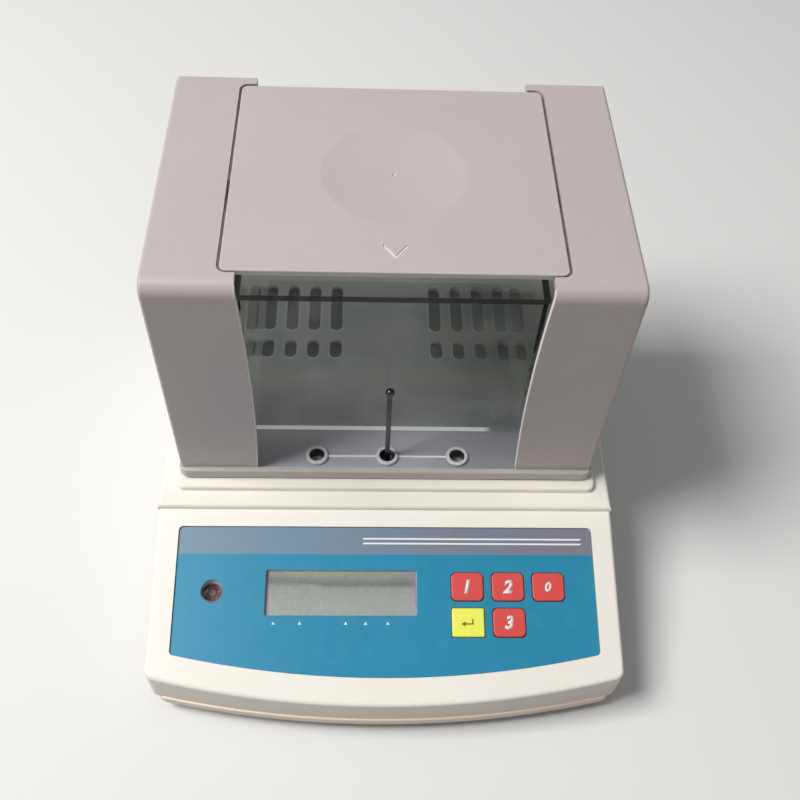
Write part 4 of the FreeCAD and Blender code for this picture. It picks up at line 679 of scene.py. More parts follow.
@dataclass(frozen=True)
class PrintedFilm(Finish):
    """Printed film of the sloping panel: header band, blue field, lacquer grain and rub marks."""

    header_depth: float = 11.3 * MM
    half_width: float = 85.7 * MM
    field_left: Colour = tone(24, 141, 180)
    field_right: Colour = tone(36, 140, 176)
    header_left: Colour = tone(120, 146, 166)
    header_right: Colour = tone(130, 128, 140)
    header_soft: float = 0.05 * MM
    cloud_size: float = 24 * MM
    clouded: Span = (0.35, 0.8)
    cloud_share: float = 0.16
    cloud_light: float = 1.25
    edge_dark_reach: float = 0.35 * MM
    edge_dark_share: float = 0.35
    edge_darkness: float = 0.35
    keys_x: Span = (20 * MM, 30 * MM)
    keys_down: Span = (16 * MM, 44 * MM)
    keys_soft: float = 4 * MM
    roughness: float = 0.36
    rub_size: float = 5 * MM
    rubbed: Span = (0.4, 0.7)
    rubbing: float = 0.1
    grain: float = 0.22 * MM
    grain_depth: float = 0.005 * MM
    scratch_size: float = 0.4 * MM
    scratch_turn: float = 1.1
    scratch_depth: float = 0.003 * MM
    coat: float = 0.1
    coat_wear: float = 0.05
    coat_roughness: float = 0.2

    def draw(self, shader: Shader) -> Value:
        """Draws the surface.

        Args:
            shader: Node tree to draw in.

        Returns:
            The printed film.
        """
        x, y, z = shader.axes
        offset = PANEL_TOP.y * math.cos(SLOPE) + PANEL_TOP.z * math.sin(SLOPE)
        down = offset - y * math.cos(SLOPE) - z * math.sin(SLOPE)
        along = x.ramp(-self.half_width, self.half_width)
        field_colour = shader.mix(along, self.field_left, self.field_right)
        header_colour = shader.mix(along, self.header_left, self.header_right)
        header = (down - self.header_depth).ramp(self.header_soft, -self.header_soft)
        cloud = shader.noise(self.cloud_size).ramp(*self.clouded) * self.cloud_share
        printed = shader.mix(header, field_colour, header_colour)
        printed = shader.mix(cloud, printed, scaled(self.field_left, self.cloud_light))
        # The film is darker along all its edges.
        edge_mask = shader.edges(self.edge_dark_reach) * self.edge_dark_share
        printed = shader.mix(edge_mask, printed, scaled(self.field_right, self.edge_darkness))
        rubbed = shader.noise(self.rub_size, detail=4.0).ramp(*self.rubbed)
        touched = x.ramp(*self.keys_x) * down.within(*self.keys_down, self.keys_soft)
        lines = shader.scratches(self.scratch_size, self.scratch_turn)
        roughness = (rubbed + touched * rubbed - lines) * self.rubbing + self.roughness
        normal = shader.bump(shader.noise(self.grain), self.grain_depth)
        normal = shader.bump(1 - lines, self.scratch_depth, normal)
        return shader.principled({
            "Base Color": printed, "Roughness": roughness, "Normal": normal,
            "Coat Weight": rubbed * -self.coat_wear + self.coat, "Coat Roughness": self.coat_roughness,
        })


@dataclass(frozen=True)
class DisplayGlass(Finish):
    """Unlit display cell: grey polariser, paler active field and a faint violet border."""

    centre_x: float = -18.5 * MM
    half_width: float = 30.7 * MM
    field: Colour = tone(168, 173, 168)
    border: Colour = tone(176, 164, 176)
    shade: Colour = tone(160, 164, 162)
    border_from: Span = (3.2 * MM, 2.2 * MM)
    border_share: float = 0.8
    row: float = 0.3 * MM
    row_depth: float = 0.0015 * MM
    shade_size: float = 12 * MM
    roughness: float = 0.22
    gloss_size: float = 2 * MM
    gloss_share: float = 0.1

    def draw(self, shader: Shader) -> Value:
        """Draws the surface.

        Args:
            shader: Node tree to draw in.

        Returns:
            The display's surface.
        """
        x, y, z = shader.axes
        side = (self.half_width - abs(x - self.centre_x)).ramp(*self.border_from)
        base = shader.mix(shader.noise(self.shade_size), self.field, self.shade)
        base = shader.mix(side * self.border_share, base, self.border)
        rows = (z * (2 * math.pi / self.row)).maths("SINE") * 0.5 + 0.5
        normal = shader.bump(rows, self.row_depth)
        roughness = shader.noise(self.gloss_size, detail=3.0) * self.gloss_share + self.roughness
        return shader.surface(base, roughness, normal)


@dataclass(frozen=True)
class ClearPlastic(Finish):
    """Clear plastic with smears and fine scratches, that lets the lamps through."""

    colour: Colour = (0.93, 0.97, 0.97, 1.0)
    haze: float = 0.03
    haze_colour: Colour = (0.7, 0.72, 0.72, 1.0)
    refraction: float = 1.2
    depth: float = 0.003 * MM
    edge_reach: float = 0.4 * MM
    smear_size: float = 14 * MM
    smeared: Span = (0.45, 0.75)
    smear_roughness: float = 0.03
    scratch_size: float = 0.35 * MM
    scratch_turn: float = 0.4
    scratch_roughness: float = 0.2
    polish: float = 0.005
    film_roughness: float = 0.5
    glow: float = 0.0

    def film_colour(self, shader: Shader) -> Value | Colour:
        """Gives the colour of the hazed and frosted places."""
        return self.haze_colour

    def frost(self, shader: Shader) -> Value | float:
        """1 where the surface is frosted and 0 where it is clear."""
        return shader.edges(self.edge_reach) * self.haze

    def draw(self, shader: Shader) -> Value:
        """Draws the surface.

        Args:
            shader: Node tree to draw in.

        Returns:
            Clear plastic with a thin haze.
        """
        smears = shader.noise(self.smear_size, detail=4.0).ramp(*self.smeared)
        lines = shader.scratches(self.scratch_size, self.scratch_turn)
        normal = shader.bump(1 - lines, self.depth)
        roughness = smears * self.smear_roughness + lines * self.scratch_roughness + self.polish
        clear = shader.principled({"Base Color": self.colour, "Roughness": roughness, "Normal": normal,
                                   "Transmission Weight": 1.0, "IOR": self.refraction})
        colour = self.film_colour(shader)
        # With glow above zero, the hazed and frosted places glow as painted light.
        film = shader.principled({"Base Color": colour, "Roughness": self.film_roughness, "Normal": normal,
                                  "Emission Color": colour, "Emission Strength": self.glow})
        share = (smears * self.haze).larger(self.frost(shader))
        seen = shader.blend(share, clear, film)
        path = shader.node("LightPath")
        open_way = shader.node("BsdfTransparent", None, {"Color": self.colour})["BSDF"]
        return shader.blend(path["Is Shadow Ray"].larger(path["Is Diffuse Ray"]), seen, open_way)


@dataclass(frozen=True)
class TankPlastic(ClearPlastic):
    """Clear plastic of the tank, with a painted glowing highlight along the front edge of its floor and a
    dull dark band on its upper rim.
    """

    floor_middle: float = 57.6 * MM
    floor_reach: Span = (1.7 * MM, 1.3 * MM)
    front_y: Span = (6 * MM, 5 * MM)
    bright_x: Span = (46 * MM, 41 * MM)
    edge_share: float = 0.9
    top: float = 137.5 * MM
    dull: Span = (0.6 * MM, 0.2 * MM)
    rim: Span = (0.2 * MM, 0.1 * MM)
    rim_share: float = 0.85
    rim_colour: Colour = (0.045, 0.045, 0.043, 1.0)

    def film_colour(self, shader: Shader) -> Value:
        """Gives the colour of the hazed and frosted places, darker on the rim."""
        return shader.mix((self.top - shader.axes[2]).ramp(*self.dull), self.haze_colour, self.rim_colour)

    def frost(self, shader: Shader) -> Value:
        """Adds the floor's front edge, with its painted glowing highlight, and the upper rim to the frosted
        places.

        Args:
            shader: Node tree to draw in.

        Returns:
            1 where the surface is frosted and 0 where it is clear.
        """
        x, y, z = shader.axes
        floor = abs(z - self.floor_middle).ramp(*self.floor_reach)
        # Painted highlight: the floor's front edge is frosted and glows.
        lit = y.ramp(*self.front_y) * x.ramp(*self.bright_x) * self.edge_share
        rim = (self.top - z).ramp(*self.rim) * self.rim_share
        return super().frost(shader).larger(floor * lit).larger(rim)


class Lay(Enum):
    """Direction of the tool marks on a metal piece."""

    ALONG = (1.0, 0.03, 1.0)
    TURNED = (0.15, 0.15, 1.0)


@dataclass(frozen=True)
class Metal(Finish):
    """Metal with tool marks, tarnish clouds and bright edges."""

    colour: Colour
    roughness: float = 0.28
    lay: Lay = Lay.ALONG
    line: float = 0.25 * MM
    depth: float = 0.006 * MM
    line_roughness: float = 0.14
    tarnish: float = 0.3
    tarnished: Span = (0.4, 0.75)
    tarnish_dark: float = 0.6
    cloud_size: float = 6 * MM
    cloud_roughness: float = 0.1
    edge_reach: float = 0.4 * MM
    edge_share: float = 0.5
    edge_light: float = 1.25

    def draw(self, shader: Shader) -> Value:
        """Draws the surface.

        Args:
            shader: Node tree to draw in.

        Returns:
            The metal's surface.
        """
        lines = shader.noise(self.line, detail=3.0, stretch=self.lay.value)
        cloud = shader.noise(self.cloud_size, detail=3.0)
        edge_mask = shader.edges(self.edge_reach) * self.edge_share
        dull = cloud.ramp(*self.tarnished) * self.tarnish
        base = shader.mix(dull, self.colour, scaled(self.colour, self.tarnish_dark))
        base = shader.mix(edge_mask, base, scaled(self.colour, self.edge_light))
        least = self.roughness - (self.line_roughness + self.cloud_roughness) / 2
        roughness = lines * self.line_roughness + cloud * self.cloud_roughness + least
        normal = shader.bump(lines, self.depth)
        return shader.principled({"Base Color": base, "Metallic": 1.0, "Roughness": roughness,
                                  "Normal": normal})


@dataclass(frozen=True)
class CircuitBoard(Finish):
    """Green lacquered board with copper tracks and a glass weave."""

    lacquer: Colour = (0.012, 0.09, 0.035, 1.0)
    track: Colour = (0.03, 0.19, 0.07, 1.0)
    spacing: float = 260.0
    mortar: float = 0.12
    brick: float = 1.3
    stagger: float = 0.37
    weave: float = 0.5 * MM
    weave_stretch: tuple[float, float, float] = (1.0, 0.3, 1.0)
    weave_share: float = 0.2
    depth: float = 0.03 * MM
    roughness: float = 0.28
    weave_roughness: float = 0.12

    def draw(self, shader: Shader) -> Value:
        """Draws the surface.

        Args:
            shader: Node tree to draw in.

        Returns:
            The board's surface.
        """
        sockets = {"Vector": shader.position(), "Scale": self.spacing,
                   "Mortar Size": self.mortar, "Brick Width": self.brick}
        tracks = shader.node("TexBrick", {"offset": self.stagger}, sockets)["Fac"]
        weave = shader.noise(self.weave, detail=1.0, stretch=self.weave_stretch)
        base = shader.mix(tracks, self.lacquer, self.track)
        height = tracks * (1 - self.weave_share) + weave * self.weave_share
        roughness = weave * self.weave_roughness + self.roughness
        return shader.surface(base, roughness, shader.bump(height, self.depth))


@dataclass(frozen=True)
class FlatCable(Finish):
    """Flat cable: grey strands with one red edge."""

    centre_x: float = 40 * MM
    half_width: float = 8 * MM
    pitch: float = 1.27 * MM
    strand: Colour = (0.55, 0.55, 0.53, 1.0)
    strand_dark: float = 0.7
    edge: Colour = (0.5, 0.05, 0.04, 1.0)
    edge_soft: float = 0.127 * MM
    depth: float = 0.15 * MM
    roughness: float = 0.35
    gloss_size: float = 2 * MM
    gloss_share: float = 0.15

    def draw(self, shader: Shader) -> Value:
        """Draws the surface.

        Args:
            shader: Node tree to draw in.

        Returns:
            The cable's surface.
        """
        across = shader.axes[0] - self.centre_x
        ridge = (across * (2 * math.pi / self.pitch)).maths("COSINE") * 0.5 + 0.5
        last = self.half_width - self.pitch
        strands = shader.mix(ridge, scaled(self.strand, self.strand_dark), self.strand)
        base = shader.mix(across.ramp(last, last + self.edge_soft), strands, self.edge)
        normal = shader.bump(ridge, self.depth)
        roughness = shader.noise(self.gloss_size) * self.gloss_share + self.roughness
        return shader.surface(base, roughness, normal)


@dataclass(frozen=True)
class SoftRubber(Finish):
    """Rubber with a dusty bloom."""

    colour: Colour = (0.022, 0.022, 0.024, 1.0)
    bloom: Colour = (0.16, 0.155, 0.15, 1.0)
    bloom_size: float = 2.5 * MM
    bloomed: Span = (0.4, 0.8)
    bloom_share: float = 0.35
    bloom_roughness: float = 0.15
    roughness: float = 0.7
    pore: float = 0.3 * MM
    pore_depth: float = 0.02 * MM
    edge_reach: float = 0.6 * MM
    edge_share: float = 0.3

    def draw(self, shader: Shader) -> Value:
        """Draws the surface.

        Args:
            shader: Node tree to draw in.

        Returns:
            The rubber's surface.
        """
        pores = shader.noise(self.pore, detail=3.0)
        dusty = shader.noise(self.bloom_size, detail=4.0).ramp(*self.bloomed)
        pale = dusty * self.bloom_share + shader.edges(self.edge_reach) * self.edge_share
        base = shader.mix(pale, self.colour, self.bloom)
        roughness = dusty * self.bloom_roughness + self.roughness
        return shader.surface(base, roughness, shader.bump(pores, self.pore_depth))


@dataclass(frozen=True)
class PrintedInk(Finish):
    """Opaque printing ink with a slight screen texture."""

    colour: Colour
    dot: float = 0.15 * MM
    dotted: Span = (0.55, 0.8)
    dot_share: float = 0.25
    dot_dark: float = 0.8
    dot_roughness: float = 0.1
    depth: float = 0.004 * MM
    roughness: float = 0.42

    def draw(self, shader: Shader) -> Value:
        """Draws the surface.

        Args:
            shader: Node tree to draw in.

        Returns:
            The ink's surface.
        """
        dots = shader.noise(self.dot)
        thin = dots.ramp(*self.dotted) * self.dot_share
        base = shader.mix(thin, self.colour, scaled(self.colour, self.dot_dark))
        roughness = dots * self.dot_roughness + self.roughness
        return shader.surface(base, roughness, shader.bump(dots, self.depth))


CASE = CasePlastic("ivory_case", tone(250, 246, 237), roughness=0.4, hollow_shade_and_grime=0.4, edge_wear=0.25)
HOOD = HoodPlastic("warm_grey_hood", tone(194, 184, 182), roughness=0.46, hollow_shade_and_grime=0.3,
                   edge_colour=tone(226, 220, 216), edge_wear=0.55)
TRAY = TrayPlastic("cool_grey_tray", tone(176, 179, 187), roughness=0.38,
                   edge_colour=tone(238, 239, 240), edge_wear=0.8)
PADS = TrayPlastic("pale_silicone", tone(176, 179, 187), roughness=0.5, rim_z=(70 * MM, 71 * MM))
PAN = DishedPlastic("grey_pan", tone(196, 188, 186), roughness=0.42, hollow_shade_and_grime=0.2,
                    edge_colour=tone(232, 228, 224), edge_wear=0.7, hairlines=0.2)
SOCKET = BoredPlastic("socket_grey", tone(214, 216, 220), roughness=0.3, hollow_shade_and_grime=0.2,
                      edge_colour=tone(250, 250, 252), edge_wear=1.0, edge_reach=0.6 * MM)
BLACK = MouldedPlastic("black_plastic", tone(34, 34, 36), roughness=0.45, edge_colour=tone(90, 90, 92),
                       dust=0.12, grain_depth=0.02 * MM)
RED_KEY = MouldedPlastic("red_key", tone(226, 80, 76), roughness=0.42, edge_colour=tone(238, 140, 130),
                         edge_wear=0.5, edge_reach=0.6 * MM, dust=0.02)
YELLOW_KEY = MouldedPlastic("yellow_key", tone(252, 255, 100), roughness=0.42,
                            edge_colour=tone(255, 255, 205), edge_wear=0.9, edge_reach=0.6 * MM, dust=0.02)
LEVEL_CUP = MouldedPlastic("level_cup", tone(140, 118, 128), roughness=0.5, dust=0.0, edge_wear=0.0)
ROCKER = MarkedPlastic("rocker_black", tone(30, 30, 32), roughness=0.38, edge_colour=tone(80, 80, 82))
STEEL = Metal("plated_steel", (0.58, 0.59, 0.6, 1.0), lay=Lay.TURNED)
DARK_STEEL = Metal("dark_probe", (0.09, 0.09, 0.1, 1.0), roughness=0.32, lay=Lay.TURNED)
ALUMINIUM = Metal("milled_aluminium", (0.72, 0.73, 0.74, 1.0), roughness=0.36, depth=0.01 * MM)
BRASS = Metal("turned_brass", (0.72, 0.5, 0.2, 1.0), roughness=0.3, lay=Lay.TURNED)
ACRYLIC = TankPlastic("clear_acrylic", colour=(0.96, 0.971, 0.961, 1.0), refraction=1.12,
                      haze_colour=(0.92, 0.9, 0.92, 1.0), glow=0.22)
PANE = ClearPlastic("display_pane", colour=(0.96, 0.97, 0.96, 1.0), haze=0.02, refraction=1.1)
VIAL = ClearPlastic("level_vial", colour=(0.95, 0.9, 0.9, 1.0), haze=0.06)
RUBBER = SoftRubber("black_rubber")
WHITE_INK = PrintedInk("white_ink", tone(244, 246, 248))
OLIVE_INK = PrintedInk("olive_ink", tone(112, 112, 40))
BLACK_INK = PrintedInk("black_ink", tone(24, 24, 26))
FOOT_PLACES = ("front_left", "front_right", "rear_left", "rear_right")


class Bench:
    """Modelling steps that the new pieces share, done with Blender's operators."""

    @staticmethod
    def clear() -> None:
        """Deselects everything."""
        if bpy.context.object and bpy.context.object.mode != "OBJECT":
            bpy.ops.object.mode_set(mode="OBJECT")
        bpy.ops.object.select_all(action="DESELECT")

    @staticmethod
    def adopt(name: str) -> Piece:
        """Names the object that an operator has just added.

        Args:
            name: Name of the piece and its mesh.

        Returns:
            The object.
        """
        piece = bpy.context.object
        piece.name = name
        piece.data.name = name
        return piece

    @staticmethod
    def pick(piece: Piece, test: Callable[[Vector, Vector], bool]) -> None:
        """Selects faces by their middle and normal, and leaves the piece in edit mode.

        Args:
            piece: Object to work on.
            test: Says whether a face with this middle and normal is selected.
        """
        bpy.ops.object.mode_set(mode="EDIT")
        bpy.ops.mesh.select_mode(type="FACE")
        bpy.ops.mesh.select_all(action="DESELECT")
        bpy.ops.object.mode_set(mode="OBJECT")
        for face in piece.data.polygons:
            face.select = test(face.center, face.normal)
        bpy.ops.object.mode_set(mode="EDIT")

    @staticmethod
    def every(middle: Vector, normal: Vector) -> bool:
        """Says yes to every face."""
        return True

    @staticmethod
    def raise_flat(piece: Piece, height: float) -> None:
        """Gives a flat mesh a thickness upwards and points its faces outwards.

        Args:
            piece: Flat mesh in the XY plane.
            height: Thickness, in metres.
        """
        Bench.pick(piece, Bench.every)
        bpy.ops.mesh.extrude_region_move(TRANSFORM_OT_translate={"value": (0.0, 0.0, height)})
        bpy.ops.mesh.select_all(action="SELECT")
        bpy.ops.mesh.normals_make_consistent(inside=False)
        bpy.ops.object.mode_set(mode="OBJECT")

    @staticmethod
    def settle(piece: Piece, place: Matrix) -> Piece:
        """Moves a piece to its place and leaves its object at the origin.

        Args:
            piece: Object to place.
            place: Its place in the row's frame.

        Returns:
            The same object.
        """
        Bench.clear()
        piece.matrix_world = place @ piece.matrix_world
        piece.select_set(True)
        bpy.context.view_layer.objects.active = piece
        bpy.ops.object.transform_apply()
        return piece

    @staticmethod
    def join(name: str, pieces: Sequence[Piece]) -> Piece:
        """Joins pieces into the first one.

        Args:
            name: Name of the joined piece.
            pieces: Objects to join.

        Returns:
            The joined object.
        """
        Bench.clear()
        for piece in pieces:
            piece.select_set(True)
        bpy.context.view_layer.objects.active = pieces[0]
        bpy.ops.object.join()
        return Bench.adopt(name)

    @staticmethod
    def copy(piece: Piece, name: str, place: Matrix) -> Piece:
        """Copies a piece with its own mesh to another place.

        Args:
            piece: Object to copy.
            name: Name of the copy.
            place: How far the copy is moved.

        Returns:
            The copy.
        """
        Bench.clear()
        piece.select_set(True)
        bpy.context.view_layer.objects.active = piece
        bpy.ops.object.duplicate(linked=False)
        return Bench.settle(Bench.adopt(name), place)


Dressing = tuple[tuple[Finish, tuple[str, ...]], ...]


@dataclass
class SubAssembly:
    """Group of pieces that is dressed and completed together."""

    dressing: Dressing = ()

    def dress(self) -> list[str]:
        """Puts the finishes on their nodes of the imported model.

        Returns:
            The names of the nodes.
        """
        for finish, names in self.dressing:
            for name in names:
                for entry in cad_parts[name].material_slots:
                    entry.material = material_of(finish)
        return [name for finish, names in self.dressing for name in names]

    @staticmethod
    def add(piece: Piece, body: str, finish: Finish, slot: str) -> str:
        """Dresses a new piece and lets it ride on a body.

        Args:
            piece: New piece, in place.
            body: Body that it moves with.
            finish: Finish to put on.
            slot: Material slot of the record; not used.

        Returns:
            The piece's name.
        """
        piece.data.materials.clear()
        piece.data.materials.append(material_of(finish))
        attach(piece, body)
        return piece.name

    def complete(self) -> list[str]:
        """Adds the new pieces and returns their names; most sub-assemblies have none."""
        return []

    def build(self) -> list[str]:
        """Dresses the nodes, adds the new pieces and returns all their names."""
        return self.dress() + self.complete()


@dataclass
class Case(SubAssembly):
    """Upper and lower case with their screws, the foot nuts and the inlet."""

    dressing: Dressing = (
        (CASE, ("top_case", "bottom_case")),
        (STEEL, ("case_screws", "tray_screws")),
        (BRASS, ("foot_inserts",)),
        (BLACK, ("dc_jack",)),
    )


@dataclass
class Switch(SubAssembly):
    """Power switch in the rear wall."""

    dressing: Dressing = ((BLACK, ("switch_body",)), (ROCKER, ("switch_rocker",)))


@dataclass
class Electronics(SubAssembly):
    """Boards, switches and cable inside the case."""

    dressing: Dressing = (
        (CircuitBoard("board"), ("display_board", "main_board")),
        (STEEL, ("display_screws", "main_board_screws")),
        (BLACK, ("key_switches", "lcd_frame")),
        (FlatCable("flat_cable"), ("display_ribbon",)),
    )


@dataclass
class ControlPanel(SubAssembly):
    """Printed panel with its display, plain header stripes and pointers under the display."""

    dressing: Dressing = (
        (PrintedFilm("printed_film"), ("control_overlay",)),
        (PANE, ("lcd_window",)),
        (DisplayGlass("display_cell"), ("lcd_glass",)),
    )
    film_top: float = -0.8 * MM
    ink: float = 0.03 * MM
    stripe_span: Span = (-10.0 * MM, 81.0 * MM)
    stripe_down: tuple[float, ...] = (4.7 * MM, 6.7 * MM)
    stripe_width: float = 0.7 * MM
    stripe_slant: float = 0.5 * MM
    pointer_x: tuple[float, ...] = (-45.5 * MM, -35.0 * MM, -16.5 * MM, -8.5 * MM, 0.5 * MM)
    pointer_down: float = 39.6 * MM
    pointer_size: float = 0.85 * MM
    pointer_round: float = 0.1275 * MM

    def on_film(self, x: float, down: float) -> Matrix:
        """Gives the place of a mark on the film, across the panel and down its slope."""
        return panel_matrix() @ Matrix.Translation((x, -down, self.film_top))

    def stripe(self, name: str, down: float) -> Piece:
        """Models one header stripe with slanted ends.

        Args:
            name: Name of the piece.
            down: Distance from the panel's top edge.

        Returns:
            The stripe, in place.
        """
        Bench.clear()
        bpy.ops.mesh.primitive_plane_add(size=1)
        piece = Bench.adopt(name)
        length = self.stripe_span[1] - self.stripe_span[0]
        piece.scale = (length, self.stripe_width, 1.0)
        bpy.ops.object.transform_apply(location=False, rotation=False, scale=True)
        Bench.raise_flat(piece, self.ink)
        Bench.pick(piece, lambda middle, normal: normal.y > FACING)
        bpy.ops.transform.translate(value=(self.stripe_slant, 0.0, 0.0))
        bpy.ops.object.mode_set(mode="OBJECT")
        middle = (self.stripe_span[0] + self.stripe_span[1]) / 2
        return Bench.settle(piece, self.on_film(middle, down))

    def pointers(self) -> Piece:
        """Models the small pointers under the display.

        Returns:
            All pointers as one piece, in place.
        """
        Bench.clear()
        bpy.ops.mesh.primitive_circle_add(vertices=3, radius=self.pointer_size, fill_type="NGON")
        first = Bench.adopt("pointer")
        Bench.raise_flat(first, self.ink)
        Bench.pick(first, lambda middle, normal: normal.z > FACING)
        bpy.ops.mesh.bevel(offset=self.pointer_round, offset_type="OFFSET", segments=2, affect="EDGES")
        bpy.ops.object.mode_set(mode="OBJECT")
        made = [Bench.copy(first, "pointer_copy", self.on_film(x, self.pointer_down)) for x in self.pointer_x]
        bpy.data.objects.remove(first)
        return Bench.join("display_pointers", made)

    def complete(self) -> list[str]:
        """Adds the printed marks.

        Returns:
            The names of the stripes and the pointers.
        """
        numbered = enumerate(self.stripe_down, 1)
        pieces = [self.stripe(f"header_stripe_{number}", down) for number, down in numbered]
        return [self.add(piece, "base", WHITE_INK, "panel_film") for piece in (*pieces, self.pointers())]


@dataclass(frozen=True)
class KeyMark:
    """Mark on one key: its text, or an arrow if the text is empty."""

    key: str
    column: int
    row: int
    text: str
    height: float
    finish: Finish = WHITE_INK
    slot: str = "key_plastic"


@dataclass
class Keypad(SubAssembly):
    """Five push keys with generic marks; the arrow's sizes are shares of its height."""

    dressing: Dressing = (
        (RED_KEY, ("key_a", "key_b", "key_zero", "key_c")),
        (YELLOW_KEY, ("key_enter",)),
    )
    first_x: float = 33.0 * MM
    first_down: float = 24.6 * MM
    pitch_x: float = 16.7 * MM
    pitch_down: float = 14.5 * MM
    top: float = -0.1 * MM
    ink: float = 0.03 * MM
    slant: float = 0.22
    boldness: float = 0.042
    curve_steps: int = 6
    weld: float = 0.001 * MM
    arrow_line: float = 0.17
    head_size: float = 0.36
    head_x: float = -0.52
    shaft_y: float = -0.2
    shaft_x: float = 0.16
    riser_x: float = 0.66
    riser_y: float = 0.08
    riser_height: float = 0.56
    marks: tuple[KeyMark, ...] = (
        KeyMark("key_a", 0, 0, "1", 5.5 * MM),
        KeyMark("key_b", 1, 0, "2", 5.5 * MM),
        KeyMark("key_zero", 2, 0, "0", 4.0 * MM),
        KeyMark("key_enter", 0, 1, "", 3.2 * MM, OLIVE_INK, "key_enter_plastic"),
        KeyMark("key_c", 1, 1, "3", 5.5 * MM),
    )

    def numeral(self, name: str, text: str, height: float) -> Piece:
        """Models a slanted numeral around the origin.

        Args:
            name: Name of the piece.
            text: Numeral to draw.
            height: Height of the numeral.

        Returns:
            A flat mesh with the ink's thickness.
        """
        Bench.clear()
        bpy.ops.object.text_add()
        piece = bpy.context.object
        piece.data.body = text
        piece.data.shear = self.slant
        piece.data.offset = self.boldness
        piece.data.resolution_u = self.curve_steps
        bpy.ops.object.convert(target="MESH")
        piece = Bench.adopt(name)
        low = Vector(piece.bound_box[0])
        high = Vector(piece.bound_box[6])
        share = height / (high.y - low.y)
        piece.matrix_world = Matrix.Scale(share, 4) @ Matrix.Translation(-(low + high) / 2)
        bpy.ops.object.transform_apply()
        bpy.ops.object.mode_set(mode="EDIT")
        bpy.ops.mesh.select_all(action="SELECT")
        bpy.ops.mesh.remove_doubles(threshold=self.weld)
        bpy.ops.object.mode_set(mode="OBJECT")
        Bench.raise_flat(piece, self.ink)
        return piece

    def arrow(self, name: str, height: float) -> Piece:
        """Models an enter arrow around the origin: a riser, a shaft to the left and its head.

        Args:
            name: Name of the piece.
            height: Height of the arrow.

        Returns:
            A flat mesh with the ink's thickness.
        """
        line = height * self.arrow_line
        shaft_y = height * self.shaft_y
        Bench.clear()
        bpy.ops.mesh.primitive_circle_add(vertices=3, radius=height * self.head_size, fill_type="NGON",
                                          location=(height * self.head_x, shaft_y, 0.0),
                                          rotation=(0.0, 0.0, math.pi / 2))
        head = Bench.adopt("arrow_head")
        bars = []
        shaft = ((height * self.shaft_x, shaft_y), (height, line))
        riser = ((height * self.riser_x - line / 2, height * self.riser_y),
                 (line, height * self.riser_height + line))
        for centre, size in (shaft, riser):
            bpy.ops.mesh.primitive_plane_add(size=1, location=(*centre, 0.0))
            bar = Bench.adopt("arrow_bar")
            bar.scale = (*size, 1.0)
            bars.append(bar)
        piece = Bench.join(name, [head, *bars])
        bpy.ops.object.transform_apply()
        Bench.raise_flat(piece, self.ink)
        return piece

    def complete(self) -> list[str]:
        """Adds the marks on the keys.

        Returns:
            The marks' names.
        """
        names = []
        for mark in self.marks:
            name = f"{mark.key}_mark"
            piece = self.numeral(name, mark.text, mark.height) if mark.text else self.arrow(name, mark.height)
            x = self.first_x + mark.column * self.pitch_x
            down = self.first_down + mark.row * self.pitch_down
            Bench.settle(piece, panel_matrix() @ Matrix.Translation((x, -down, self.top)))
            names.append(self.add(piece, mark.key, mark.finish, mark.slot))
        return names


@dataclass
class Level(SubAssembly):
    """Bull's-eye level with the black circle printed on its vial."""

    dressing: Dressing = ((LEVEL_CUP, ("level_cup",)), (VIAL, ("level_vial", "level_bubble")))
    ring_radius: float = 1.9 * MM
    ring_width: float = 0.28 * MM
    corners: int = 48
    ink: float = 0.02 * MM

    def ring(self) -> Piece:
        """Models the printed circle.

        Returns:
            The circle, in place on the vial.
        """
        low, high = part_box("level_vial")
        Bench.clear()
        bpy.ops.mesh.primitive_circle_add(vertices=self.corners, radius=self.ring_radius, fill_type="NGON")
        piece = Bench.adopt("level_ring")
        Bench.pick(piece, Bench.every)
        bpy.ops.mesh.inset(thickness=self.ring_width)
        bpy.ops.mesh.delete(type="FACE")
        bpy.ops.object.mode_set(mode="OBJECT")
        Bench.raise_flat(piece, self.ink)
        middle = (low + high) / 2
        return Bench.settle(piece, Matrix.Translation((middle.x, middle.y, high.z)))

    def complete(self) -> list[str]:
        """Adds the circle and returns its name."""
        return [self.add(self.ring(), "base", BLACK_INK, "black_plastic")]


@dataclass
class TankChamber(SubAssembly):
    """Tray with its sockets and probe, and the clear tank on its pads."""

    dressing: Dressing = (
        (TRAY, ("tray",)),
        (SOCKET, ("tool_socket_left", "tool_socket_middle", "tool_socket_right")),
        (DARK_STEEL, ("probe",)),
        (ACRYLIC, ("water_tank",)),
        (PADS, ("tank_pads",)),
    )


@dataclass
class Hood(SubAssembly):
    """Hood over the chamber."""

    dressing: Dressing = ((HOOD, ("hood",)),)


@dataclass
class WeighingFrame(SubAssembly):
    """Pan and all that carries it, down to the load cell."""

    dressing: Dressing = (
        (PAN, ("weighing_pan",)),
        (RUBBER, ("pan_pads",)),
        (ALUMINIUM, ("pan_bracket", "carrier_arm", "cell_mount", "load_cell")),
        (STEEL, ("frame_posts", "post_nuts", "carrier_screws", "cell_screws", "overload_stop")),
    )


@dataclass
class Feet(SubAssembly):
    """Four levelling feet."""

    dressing: Dressing = (
        (RUBBER, tuple(f"foot_pad_{place}" for place in FOOT_PLACES)),
        (BLACK, tuple(f"foot_screw_{place}" for place in FOOT_PLACES)),
    )


